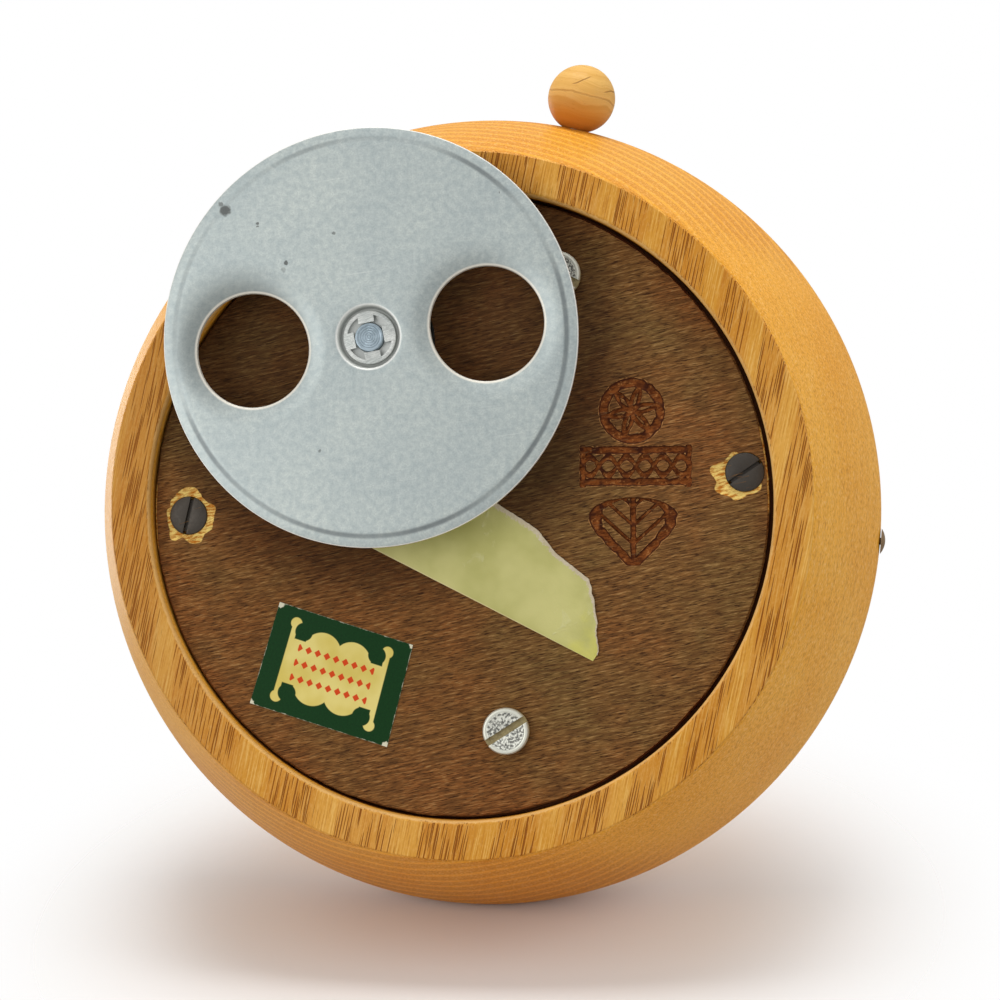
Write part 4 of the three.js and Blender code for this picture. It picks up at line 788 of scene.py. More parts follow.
# %% Helpers that run a tree and keep the result
def set_inputs(modifier, values):
    for item in modifier.node_group.interface.items_tree:
        if item.item_type == "SOCKET" and item.in_out == "INPUT" and item.name in values:
            modifier[item.identifier] = values[item.name]


def evaluated(maker, name, matrix=None):
    """The maker's finished shape as a plain mesh; the maker goes."""
    graph = bpy.context.evaluated_depsgraph_get()
    mesh = bpy.data.meshes.new_from_object(maker.evaluated_get(graph), depsgraph=graph)
    mesh.name = name
    mesh.transform(matrix or Matrix())
    bpy.data.objects.remove(maker)
    return mesh


def grown(name, mesh, tree, matrix=None, **values):
    """What a Geometry Nodes tree makes of a mesh, with values for the tree's inputs."""
    maker = linked(name + "_maker", mesh)
    modifier = maker.modifiers.new(tree.name, "NODES")
    modifier.node_group = tree
    set_inputs(modifier, {key.replace("_", " "): value for key, value in values.items()})
    return evaluated(maker, name, matrix)


def profile_mesh(points):
    """A line of points (radius, height) in the XZ plane."""
    mesh = bpy.data.meshes.new("profile")
    mesh.from_pydata([mm(radius, 0, height) for radius, height in points],
                     [(i, i + 1) for i in range(len(points) - 1)], [])
    return mesh


def tidy_faces(mesh, crease=32.0):
    """Doubles merged, normals outwards, and edges sharper than the crease kept sharp."""
    work = bmesh.new()
    work.from_mesh(mesh)
    bmesh.ops.remove_doubles(work, verts=work.verts, dist=mm(0.001))
    bmesh.ops.dissolve_degenerate(work, edges=work.edges, dist=mm(0.0005))
    bmesh.ops.recalc_face_normals(work, faces=work.faces)
    work.to_mesh(mesh)
    work.free()
    mesh.shade_smooth()
    mesh.set_sharp_from_angle(angle=math.radians(crease))
    return mesh


def turned(name, points, steps, material, matrix=None):
    """A closed solid turned from a profile of points (radius, height)."""
    profile = profile_mesh(points)
    return tidy_faces(grown(name, profile, turned_solid, matrix, Steps=steps, Finish=material))


def cut(mesh, tools, operation="DIFFERENCE"):
    """The mesh with the tools' shapes taken out of it, or joined to it."""
    maker = linked(mesh.name + "_maker", mesh)
    helpers = []
    for tool in tools:
        helpers.append(linked("tool", tool))
        modifier = maker.modifiers.new("cut", "BOOLEAN")
        modifier.operation, modifier.solver, modifier.object = operation, "MANIFOLD", helpers[-1]
    done = evaluated(maker, mesh.name)
    for helper in helpers:
        bpy.data.objects.remove(helper)
    return tidy_faces(done)


def softened(name, mesh, width, limit, crease):
    """The mesh with each edge that is sharper than the limit rounded by a narrow bevel."""
    maker = linked(name + "_maker", mesh)
    soft = maker.modifiers.new("soft_edges", "BEVEL")
    soft.width, soft.segments = mm(width), 2
    soft.limit_method, soft.angle_limit = "ANGLE", math.radians(limit)
    return tidy_faces(evaluated(maker, name), crease)


def piece(name, mesh, body, slot_name, *nodes):
    """Puts a finished mesh into the scene, hangs it on the body that it rides on, and hides the nodes of the
    model that it stands for.
    """
    made = linked(name, mesh)
    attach(made, body)
    if nodes:
        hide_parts(*nodes)
    print(name, "faces:", len(mesh.polygons), "size mm:", [round(v * 1000, 1) for v in made.dimensions])


def arc(centre, radius, start, end, steps=8):
    """Points on an arc, with its angles in degrees."""
    turns = [math.radians(start + (end - start) * i / steps) for i in range(steps + 1)]
    return [(centre[0] + radius * math.cos(t), centre[1] + radius * math.sin(t)) for t in turns]


# %% [markdown]
# ## The wooden body
# The outside is one long curve from the crisp rim to the widest part and a round shoulder over to the
# flat far side. Inside are the recess for the plywood, the ledge that it rests on, and the cavity for
# the movement.

# %% Turned body
rim_height, rim_outer, recess, ledge, cavity, ceiling = 5.0, 58.0, 51.61, 12.3, 43.21, 39.97
equator, equator_height, top_height, flank_bulge = 68.9, 38.0, 46.97, 0.4
shoulder = top_height - equator_height
across, rise = equator - shoulder - rim_outer, equator_height - rim_height
lean = math.atan2(rise, across) - math.asin(shoulder / math.hypot(across, rise))
flank_length = math.sqrt(across ** 2 + rise ** 2 - shoulder ** 2)


def flank(share):
    """A point on the outside between the rim (0) and the shoulder (1)."""
    out = 4 * flank_bulge * share * (1 - share)
    return (rim_outer + share * flank_length * math.cos(lean) + out * math.sin(lean),
            rim_height + share * flank_length * math.sin(lean) - out * math.cos(lean))


body_profile = [
    (0, top_height), (30, top_height),
    *arc((equator - shoulder, equator_height), shoulder, 90, math.degrees(lean) - 90, 36)[:-1],
    *[flank(1 - k / 24) for k in range(24)],
    (rim_outer + 0.02, rim_height + 0.18), (rim_outer - 0.2, rim_height),
    *arc((recess + 0.8, rim_height + 0.8), 0.8, -90, -180, 8),
    (recess, ledge), (cavity, ledge), (cavity, ceiling - 1), (cavity - 1, ceiling), (0, ceiling),
]
knob_degrees, rod_height, rod_radius, rod_bore = 103.4, 36.97, 1.5, 1.6
knob_turn = Matrix.Rotation(math.radians(knob_degrees), 4, "Z")
along_x = Matrix.Rotation(math.radians(90), 4, "Y")
at_rod = knob_turn @ Matrix.Translation(mm(0, 0, rod_height)) @ along_x
body_mesh = turned("turned_body", body_profile, 240, body_wood)
bore_profile = [(0, 30), (rod_bore, 30), (rod_bore, 75), (0, 75)]
body_mesh = cut(body_mesh, [turned("tool", bore_profile, 32, body_wood, at_rod)])
piece("turned_body", body_mesh, "box", "honey_wood", "body_shell")

# %% [markdown]
# ## The plywood base
# A sawn disc with softened edges. The shaft and the screws pass through it. The ornament is engraved:
# its lines are written as a rule that gives a depth for each point, a tool is shaped by that rule, and
# the tool is cut out of the plywood. A bump would look flat from the side.

# %% Ornament rule: a compass rosette over a plaited bar and a leaf
def stroke(distance, half_width):
    """1 inside a line, falling to 0 at its edges."""
    return max(0.0, min(1.0, 1.6 * (1.0 - distance / half_width)))


def rosette_depth(x, y):
    """How deep the burnt rosette goes at a point round its own centre, from 0 to 1."""
    radius, reach = 4.0, math.hypot(x, y)
    depth = stroke(abs(reach - radius - 0.6), 0.95)
    if reach < radius + 0.4:
        for k in range(6):
            turn = math.radians(60 * k + 12)
            from_centre = math.hypot(x - radius * math.cos(turn), y - radius * math.sin(turn))
            depth = max(depth, stroke(abs(from_centre - radius), 0.45))
    return depth


def bar_depth(x, y):
    """A bar with a plait of two waves between two rails."""
    if abs(x) > 9.2 or abs(y) > 3.4:
        return 0.0
    wave = 1.5 * math.sin(x * 1.05)
    rails = stroke(abs(abs(y) - 2.6), 0.75)
    plait = max(stroke(abs(y - wave), 0.75), stroke(abs(y + wave), 0.75))
    return max(rails, plait, stroke(abs(abs(x) - 8.6), 0.6))


def leaf_depth(x, y):
    """A pointed leaf that hangs from the bar, with a broad outline and a rib."""
    down = -(y + 3.6)
    if not 0 < down < 11.0:
        return 0.0
    half = 6.2 * math.sin(math.pi * min(1.0, (down / 11.0) ** 0.55))
    side_rib = abs(math.fmod(down + 0.9 * abs(x), 3.0) - 1.5) if abs(x) < half else 9.0
    return max(stroke(abs(abs(x) - half), 1.25), stroke(abs(x), 0.6), stroke(side_rib, 0.5))


def ornament_depth(x, y):
    deepest = max(rosette_depth(x + 0.6, y - 10.6), bar_depth(x, y - 1.6), leaf_depth(x + 0.4, y))
    worn = 0.85 + 0.9 * noise.noise(Vector((x * 0.8, y * 0.8, 3.0)))
    return deepest * max(0.3, min(1.15, worn))


def engraving_tool(place, width, height, cell, depth, over=0.04, thickness=1.0):
    """A closed block that reaches into the plywood only where the rule gives a depth."""
    columns, rows = round(width / cell), round(height / cell)
    points, faces = [], []
    for j in range(rows + 1):
        for i in range(columns + 1):
            x, y = -width / 2 + i * cell, -height / 2 + j * cell
            sunk = ornament_depth(-x, y)
            points.append(mm(place[0] + x, place[1] + y, base_face - over + (depth + over) * sunk))
    wide = columns + 1
    for j in range(rows):
        for i in range(columns):
            a = j * wide + i
            faces.append((a, a + 1, a + wide + 1, a + wide))
    border = [i for i in range(wide)] + [j * wide + columns for j in range(1, rows + 1)]
    border += [rows * wide + i for i in range(columns - 1, -1, -1)]
    border += [j * wide for j in range(rows - 1, 0, -1)]
    first = len(points)
    points += [Vector((points[k].x, points[k].y, mm(base_face - thickness))) for k in border]
    size = len(border)
    for k in range(size):
        after = (k + 1) % size
        faces.append((border[after], border[k], first + k, first + after))
    faces.append(tuple(first + k for k in range(size - 1, -1, -1)))
    mesh = bpy.data.meshes.new("tool")
    mesh.from_pydata(points, [], faces)
    mesh.materials.append(plywood)
    return tidy_faces(mesh)


print("depth in the middle of the bar:", round(ornament_depth(0, 1.6), 2))

# %% Plywood disc with its holes, chips and ornament
base_radius, base_top, base_shift = 51.15, 12.0, 0.25
base_profile = [(0, base_top), (base_radius - 0.2, base_top), (base_radius, base_top - 0.2),
                (base_radius, base_face + 0.3), (base_radius - 0.3, base_face), (0, base_face)]
base_mesh = turned("plywood_base", base_profile, 240, plywood, Matrix.Translation(mm(base_shift, 0, 0)))
for vertex in base_mesh.vertices:
    reach = math.hypot(vertex.co.x, vertex.co.y)
    if reach > mm(base_radius - 2):  # the sawn edge is a little ragged
        ragged = noise.noise(vertex.co * 900) * 0.12 + noise.noise(vertex.co * 260) * 0.12 - 0.05
        vertex.co.x *= 1 + mm(ragged) / reach
        vertex.co.y *= 1 + mm(ragged) / reach


def hole_tool(x, y, radius, high=14.0, steps=48):
    points = [(0, 6.0), (radius, 6.0), (radius, high), (0, high)]
    return turned("tool", points, steps, plywood, Matrix.Translation(mm(x, y, 0)))


def chip_tool(x, y, reach, seed):
    """An uneven shallow dish round a screw, where the stain broke away."""
    points = [(0, base_face - 1), (reach, base_face - 1), (reach, base_face - 0.02),
              (reach - 0.2, base_face + 0.12), (reach - 0.8, base_face + 0.30), (0, base_face + 0.36)]
    mesh = turned("tool", points, 120, plywood)
    for vertex in mesh.vertices:
        flat = Vector((vertex.co.x, vertex.co.y, 0))
        if flat.length > mm(2.5):
            ragged = 1
            for strength, fineness, shift in ((0.30, 1.7, 0), (0.09, 3.6, 5), (0.03, 11.0, 9)):
                spot = flat.normalized() * fineness + Vector((seed, shift, 0))
                ragged += strength * noise.noise(spot)
            vertex.co.x *= ragged
            vertex.co.y *= ragged
    mesh.transform(Matrix.Translation(mm(x, y, 0)))
    return mesh


hub_hole, movement_screw_hole, cover_head_hole, cover_shank_hole = 9.6, 2.25, 3.22, 1.6
tools = [hole_tool(shaft_place.x, shaft_place.y, hub_hole, steps=96)]
tools += [hole_tool(place.x, place.y, movement_screw_hole) for place in movement_screw_places]
tools += [hole_tool(x, y, cover_head_hole, high=10.2) for x, y in cover_screw_places]
tools += [hole_tool(x, y, cover_shank_hole) for x, y in cover_screw_places]
(left_x, left_y), (right_x, right_y) = cover_screw_places
tools += [chip_tool(left_x, left_y, reach=4.4, seed=0.0),
          chip_tool(right_x + 1.3, right_y - 0.7, reach=3.9, seed=4.0)]
tools += [engraving_tool(ornament_place, width=21.0, height=33.0, cell=0.14, depth=0.55)]
base_mesh = cut(base_mesh, tools)
piece("plywood_base", base_mesh, "box", "dark_plywood", "base_plate")

# %% [markdown]
# ## The winding disc
# The real disc is pressed from sheet: a raised outer band, a cup for the hub, and two finger holes with
# drawn, rubbed edges. Here it starts as a turned plate. A boolean takes a wide circle out of it at each
# finger hole, and a dished ring, turned from its own profile, is welded into the gap. The count of open
# edges shows that the weld is complete.

# %% Pressed disc
sheet, band_rise, dish_reach = 0.8, 0.14, 12.6
shaft_hole, cup_depth = 2.45, 1.6
band_start, band_end = disc_radius - band - 0.7, disc_radius - band
shaft_at = Matrix.Translation((shaft_place.x / 1000, shaft_place.y / 1000, 0))
edge_low = band_rise + sheet / 2
plate_profile = [
    (shaft_hole, cup_depth), (4.55, cup_depth), (4.75, cup_depth - 0.12), (5.2, 0.12), (5.34, 0.03), (5.5, 0),
    (6.5, 0), (band_start - 0.6, 0), (band_start, 0.02), (band_start + 0.25, band_rise / 2),
    (band_end, band_rise), (disc_radius - 0.25, band_rise), (disc_radius - 0.06, band_rise + 0.08),
    (disc_radius, edge_low), (disc_radius - 0.06, band_rise + sheet - 0.08),
    (disc_radius - 0.25, band_rise + sheet), (band_end, band_rise + sheet), (band_start, sheet), (6.5, sheet),
    (6.0, sheet), (5.3, cup_depth + sheet - 0.1), (5.1, cup_depth + sheet), (shaft_hole, cup_depth + sheet),
    (shaft_hole, cup_depth),
]
plate_mesh = turned("pressed_disc", plate_profile, 240, zinc, shaft_at)


def at_hole(side):
    return shaft_at @ hole_line @ Matrix.Translation(mm(side * hole_reach, 0, 0))


dish_profile = [
    (dish_reach, sheet), (hole_radius + 2.4, sheet), (hole_radius + 1.1, sheet + 0.14),
    (hole_radius + 0.85, sheet + 0.4), (hole_radius + 0.6, sheet + 0.5), (hole_radius + 0.14, sheet + 0.5),
    (hole_radius, sheet + 0.38), (hole_radius, 0.80), (hole_radius + 0.10, 0.62), (hole_radius + 0.34, 0.50),
    (hole_radius + 0.8, 0.38), (hole_radius + 1.5, 0.19), (hole_radius + 2.3, 0.05), (hole_radius + 3.0, 0.0),
    (dish_reach, 0.0),
]
sides, dish_steps = (1, -1), 120
circle_profile = [(0, -1), (dish_reach, -1), (dish_reach, 3), (0, 3)]
wide_cuts = [turned("tool", circle_profile, dish_steps, zinc, at_hole(side)) for side in sides]
disc_mesh = cut(plate_mesh, wide_cuts)
dishes = [grown("dish", profile_mesh(dish_profile), turned_solid, at_hole(side), Steps=dish_steps,
                Finish=zinc) for side in sides]
work = bmesh.new()
work.from_mesh(disc_mesh)


def on_cut(vertex):
    """Whether a point lies on the wall of one of the two wide circles."""
    from_middles = [(vertex.co.xy - middle.xy / 1000).length for middle in hole_middles]
    return any(abs(distance - mm(dish_reach)) < mm(0.01) for distance in from_middles)


upright = [face for face in work.faces if abs(face.normal.z) < 0.5]
cut_walls = [face for face in upright if all(on_cut(vertex) for vertex in face.verts)]
bmesh.ops.delete(work, geom=cut_walls, context="FACES")
for dish in dishes:
    work.from_mesh(dish)
bmesh.ops.remove_doubles(work, verts=work.verts, dist=mm(0.02))
work.to_mesh(disc_mesh)
print("open edges left in the disc:", sum(len(edge.link_faces) != 2 for edge in work.edges))
work.free()
piece("pressed_disc", tidy_faces(disc_mesh), "winder", "zinc_sheet", "winding_disc")

# %% [markdown]
# ## Hub: grip washer and shaft
# A spring-steel washer with four tongues is pushed over the shaft inside the cup. The tongues repeat,
# so Geometry Nodes make them: a flat bar is bent by its distance from the axis and copied four times
# round it. The copies are joined to the washer's ring by a boolean.

# %% Geometry Nodes: tongues of the washer
def tongue_tree():
    tree, given, made = geometry_tree(
        "Bent tongues", ("Tongues", "Int", 4), ("Inner", "Float", mm(2.35)), ("Outer", "Float", mm(4.3)),
        ("Width", "Float", mm(2.6)), ("Thickness", "Float", mm(0.35)), ("Lift", "Float", mm(0.5)))
    length = minus(tree, given["Outer"], given["Inner"])
    size = vector_of(tree, length, given["Width"], given["Thickness"])
    corners = {"Size": size, "Vertices X": 9, "Vertices Y": 7, "Vertices Z": 2}
    bar = add(tree, "GeometryNodeMeshCube", corners).outputs[0]
    middle = divided(tree, plus(tree, given["Outer"], given["Inner"]), 2.0)
    out = vector_of(tree, x=middle)
    moved = add(tree, "GeometryNodeTransform", {"Geometry": bar, "Translation": out}).outputs[0]
    axes = axes_of(tree, add(tree, "GeometryNodeInputPosition").outputs[0])
    inward = divided(tree, minus(tree, given["Outer"], axes["X"]), length)
    bent = times(tree, maths(tree, "POWER", inward, 1.6), times(tree, given["Lift"], -1.0))
    lift = vector_of(tree, z=bent)
    shaped = add(tree, "GeometryNodeSetPosition", {"Geometry": moved, "Offset": lift}).outputs[0]
    # As many points on the axis as tongues, each with its own turn.
    on_axis = {"Count": given["Tongues"], "Offset": (0.0, 0.0, 0.0)}
    middles = add(tree, "GeometryNodeMeshLine", on_axis).outputs[0]
    index = add(tree, "GeometryNodeInputIndex").outputs[0]
    turn = divided(tree, times(tree, index, 2 * math.pi), given["Tongues"])
    rotation = add(tree, "FunctionNodeEulerToRotation", {0: vector_of(tree, z=turn)}).outputs[0]
    laid = {"Points": middles, "Instance": shaped, "Rotation": rotation}
    copies = add(tree, "GeometryNodeInstanceOnPoints", laid).outputs[0]
    return ended(tree, copies, given, made)


bent_tongues = tongue_tree()
print("tree:", bent_tongues.name)

# %% Washer and shaft
washer_high, tongue_middle = 1.3, 0.18
tongue_turn = Matrix.Rotation(math.radians(-11.0), 4, "Z")
at_washer = shaft_at @ Matrix.Translation(mm(0, 0, washer_high - tongue_middle)) @ tongue_turn
start_mesh = bpy.data.meshes.new("start")
tongues = grown("grip_tongues", start_mesh, bent_tongues, at_washer, Tongues=4, Inner=mm(2.4), Outer=mm(4.15),
                Width=mm(2.6), Thickness=mm(0.34), Lift=mm(0.42), Finish=washer_steel)
ring_profile = [(3.7, 0.98), (3.8, 0.93), (4.2, 0.95), (4.34, 1.05), (4.34, 1.26), (4.26, washer_high),
                (3.75, washer_high), (3.7, 1.24), (3.7, 0.98)]
washer_mesh = turned("grip_washer_ring", ring_profile, 96, washer_steel, shaft_at)
washer_mesh = cut(washer_mesh, [tidy_faces(tongues)], "UNION")
washer_mesh = softened("star_washer", washer_mesh, width=0.05, limit=40, crease=50)
piece("star_washer", washer_mesh, "winder", "bright_steel", "grip_washer")

# The shaft's end carries five fine turning grooves.
shaft_rings = []
for k in range(5):
    middle = 0.25 + 0.38 * k
    shaft_rings += [(middle - 0.12, 0.58), (middle, 0.66), (middle + 0.12, 0.58)]
shaft_radius, collar_low, collar_high = 2.35, 10.7, 12
core_low, core_high, shaft_top = 15.1, 27.4, 33.47
shaft_profile = [
    (0, 0.6), *shaft_rings, (2.12, 0.57), (2.27, 0.62), (shaft_radius, 0.8), (shaft_radius, collar_low),
    (4.2, collar_low), (4.2, collar_high), (shaft_radius, collar_high), (shaft_radius, core_low),
    (3.0, core_low), (3.0, core_high), (2.0, core_high), (2.0, shaft_top), (0, shaft_top),
]
shaft_mesh = turned("wound_shaft", shaft_profile, 64, shaft_steel, shaft_at)
piece("wound_shaft", shaft_mesh, "winder", "bright_steel", "winding_shaft")

# %% [markdown]
# ## Slotted screws
# Two dark countersunk screws hold the plywood and three bright cheese-heads hold the movement. A screw
# is a turned blank with a slot, so the tree reuses the turned solid and takes a bar out of its head. A
# narrow bevel then softens its edges.

# %% Geometry Nodes: a slotted screw
def screw_tree():
    tree, given, made = geometry_tree(
        "Slotted screw", ("Steps", "Int", 72), ("Slot width", "Float", mm(1)),
        ("Slot depth", "Float", mm(1)), ("Slot turn", "Float", 0.0))
    passed_on = {name: given[name] for name in ("Geometry", "Steps", "Finish")}
    blank = placed(tree, "Turned solid", passed_on)["Geometry"]
    # The bar is centred on the head's face, so half of its depth is in the head.
    size = vector_of(tree, mm(20), given["Slot width"], times(tree, given["Slot depth"], 2.0))
    bar = add(tree, "GeometryNodeMeshCube", {"Size": size}).outputs[0]
    spin = vector_of(tree, z=given["Slot turn"])
    turned_bar = add(tree, "GeometryNodeTransform", {"Geometry": bar, "Rotation": spin}).outputs[0]
    slotted = add(tree, "GeometryNodeMeshBoolean", {"Mesh 1": blank, "Mesh 2": turned_bar},
                  operation="DIFFERENCE", solver="EXACT").outputs[0]
    return ended(tree, slotted, given, made)


slotted_screw = screw_tree()


def screw(name, points, place, turn, slot_width, slot_depth, material):
    mesh = grown(name, profile_mesh(points), slotted_screw, Matrix.Translation(place), Steps=72,
                 Slot_width=mm(slot_width), Slot_depth=mm(slot_depth), Slot_turn=math.radians(turn),
                 Finish=material)
    return softened(name, tidy_faces(mesh), width=0.07, limit=50, crease=40)


print("tree:", slotted_screw.name)

# %% Five screws in the base
cover_profile = [(0, 0), (3.0, 0), (3.15, 0.12), (3.15, 0.3), (1.3, 2), (1.3, 10), (0, 13)]
for name, (x, y), turn in zip(("left", "right"), cover_screw_places, (103, 146)):
    mesh = screw("countersunk_" + name, cover_profile, mm(x, y, base_face), turn, slot_width=0.6,
                 slot_depth=0.7, material=dark_steel)
    piece("countersunk_" + name, mesh, "box", "dark_steel", "cover_screw_" + name)
bedplate_high, boss_height = 14.5, 3
shank_high = bedplate_high + boss_height - 0.3 - head_low
head_profile = [(0, 0.16), (2.2, 0.16), (3.0, 0.13), (3.15, 0.02), (3.35, 0), (3.6, 0.05), (3.8, 0.35),
                (3.8, head_thickness), (2, head_thickness), (2, shank_high), (0, shank_high)]
head_slots = {"far": (147.5, 1.1), "near": (26.5, 1.3), "side": (76.5, 1.1)}
for (name, (turn, slot_width)), place in zip(head_slots.items(), movement_screw_places):
    at = Vector((place.x, place.y, head_low)) / 1000
    mesh = screw("cheese_head_" + name, head_profile, at, turn, slot_width, slot_depth=0.85,
                 material=stippled_steel)
    piece("cheese_head_" + name, mesh, "box", "bright_steel", "movement_screw_" + name)

# %% [markdown]
# ## Ball knob, rod and tack
# The ball is a small turned sphere with a bore where the rod enters. A domed tack sits in the wall on
# the other side.

# %% Pale wood of the ball
ball_radius, ball_out = 5.9, 74.25


def ball_finish():
    """Pale close wood whose grain runs round the ball's waist, with a seam and one small crack."""
    material, tree, place, shader = finish("pale_ball_wood", 0.55, Specular_IOR_Level=0.15, Coat_Weight=0.05)
    own = vectors(tree, "SUBTRACT", turned_place(tree, place, -knob_degrees), (ball_out, 0.0, rod_height))
    axes = axes_of(tree, own)
    bent = plus(tree, axes["X"], times(tree, grainy(tree, own, 0.16, 2.0), 2.4))
    bands = grainy_line(tree, bent, 1.1, 3.0, 0.6)
    ground = mixed(tree, spread(tree, bands, 0.2, 0.8), tone(210, 158, 76), tone(230, 184, 106))
    pores = streaks(tree, turned_place(tree, own, 90.0), 1.6, 0.22)
    # Painted shade: the ball's side towards the box, its lower side, is darker and more orange.
    low = spread(tree, axes["X"], 0.5, -4.8)
    wander = minus(tree, grainy(tree, own, 0.3, 2.0), 0.5)
    seam = spread(tree, size_of(tree, plus(tree, axes["X"], wander)), 0.24, 0.10)
    split = size_of(tree, minus(tree, axes["X"], times(tree, axes["Y"], 0.8)))
    split = minus(tree, split, plus(tree, wander, 2.2))
    crack = spread(tree, size_of(tree, split), 0.20, 0.08)
    crack = times(tree, crack, spread(tree, axes["X"], 1.0, 1.6, 0.0, 0.6))
    crack = times(tree, crack, spread(tree, axes["X"], 3.6, 3.0))
    line = larger(tree, times(tree, seam, 0.3), crack)
    colour = layered(tree, ground, (spread(tree, pores, 0.60, 0.72, 0.0, 0.35), (176, 112, 50)),
                     (times(tree, low, 0.75), (186, 116, 34)), (line, (132, 78, 30)))
    join(tree, shader, colour, minus(tree, times(tree, bands, 0.2), line), 0.12)
    return material


ball_wood = ball_finish()

# %% Ball, rod and tack
ball_bore, bore_end = 1.6, -0.3
bore_turn = math.degrees(math.acos(ball_bore / ball_radius))
ball_profile = [(0, bore_end), (ball_bore, bore_end), *arc((0, 0), ball_radius, -bore_turn, 90, 40)]
ball_profile[-1] = (0, ball_radius)
at_ball = knob_turn @ Matrix.Translation(mm(ball_out, 0, rod_height)) @ along_x
ball_mesh = turned("wooden_ball", ball_profile, 96, ball_wood, at_ball)
piece("wooden_ball", ball_mesh, "knob", "honey_wood", "ball_knob")
rod_low, rod_high = 28, 73.4
rod_profile = [(0, rod_low), (rod_radius - 0.15, rod_low), (rod_radius, rod_low + 0.15),
               (rod_radius, rod_high), (0, rod_high)]
rod_mesh = turned("pull_rod", rod_profile, 48, bright_steel, at_rod)
piece("pull_rod", rod_mesh, "knob", "bright_steel", "knob_rod")
tack_seat, tack_high, tack_head, dome_height = 0.15, 0.86, 2.2, 0.75
dome = (tack_head ** 2 + dome_height ** 2) / (2 * dome_height)
sweep = math.degrees(math.asin(tack_head / dome))
tack_profile = [(0, -7.7), (0.6, -7.7), (0.6, tack_seat), (tack_head - 0.1, tack_seat),
                *arc((0, tack_high - dome), dome, 90 - sweep, 90, 16)]
tack_profile[-1] = (0, tack_high)
tack_turn = Matrix.Rotation(math.radians(-175.3), 4, "Z")
at_tack = tack_turn @ Matrix.Translation(mm(equator, 0, equator_height)) @ along_x
tack_mesh = turned("domed_tack", tack_profile, 64, rusty_iron, at_tack)
piece("domed_tack", tack_mesh, "box", "rusty_iron", "wall_tack")

# %% [markdown]
# ## Papers on the base
# A green and gold paper sticker and a torn strip of pale yellow paper are pasted on the plywood. Both
# are thin sheets with a thickness of their own. A grid between two edge lines gives the strip its
# straight side and its torn side, and carries a UV map on which the finish finds the torn edge.

# %% Helper for pasted paper
def pasted(name, lower, upper, columns, rows, thickness, rise, material):
    """A sheet between two lines of (x, y) points, with UV running along and across it."""
    def along(line, share):
        """The point at a share of the line's length."""
        steps = [math.dist(a, b) for a, b in zip(line, line[1:])]
        left = share * sum(steps)
        for (a, b), step in zip(zip(line, line[1:]), steps):
            if left <= step or b == line[-1]:
                part = min(1.0, left / step)
                return [a[k] + (b[k] - a[k]) * part for k in (0, 1)]
            left -= step

    points, faces, uvs = [], [], []
    for i in range(columns + 1):
        low, high = along(lower, i / columns), along(upper, i / columns)
        for j in range(rows + 1):
            share = j / rows
            x, y = (low[k] + (high[k] - low[k]) * share for k in (0, 1))
            points.append(mm(x, y, base_face - thickness - rise(i / columns, share)))
            uvs.append((i / columns, share))
    for i in range(columns):
        for j in range(rows):
            a = i * (rows + 1) + j
            faces.append((a, a + 1, a + rows + 2, a + rows + 1))
    mesh = bpy.data.meshes.new(name)
    mesh.from_pydata(points, [], faces)
    layer = mesh.uv_layers.new(name="sheet")
    for loop in mesh.loops:
        layer.data[loop.index].uv = uvs[loop.vertex_index]
    if mesh.polygons[0].normal.z > 0:
        mesh.flip_normals()
    mesh.materials.append(material)
    maker = linked(name + "_maker", mesh)
    solid = maker.modifiers.new("paper", "SOLIDIFY")
    solid.thickness, solid.offset = mm(thickness), -1
    done = evaluated(maker, name)
    done.shade_smooth()
    done.set_sharp_from_angle(angle=math.radians(35))
    return done


print("paper helper ready")

# %% [markdown]
# The sticker has a deep green ground and a gold panel, drawn by distance rules: the panel is the union
# of a block, two upright bars, four round ends and four bosses, and rows of small red lozenges fill it.
# One quarter is worked out and folded over to the others. The corners are rubbed white.

# %% Green and gold sticker
half_long, half_high = 11.75, 8.65


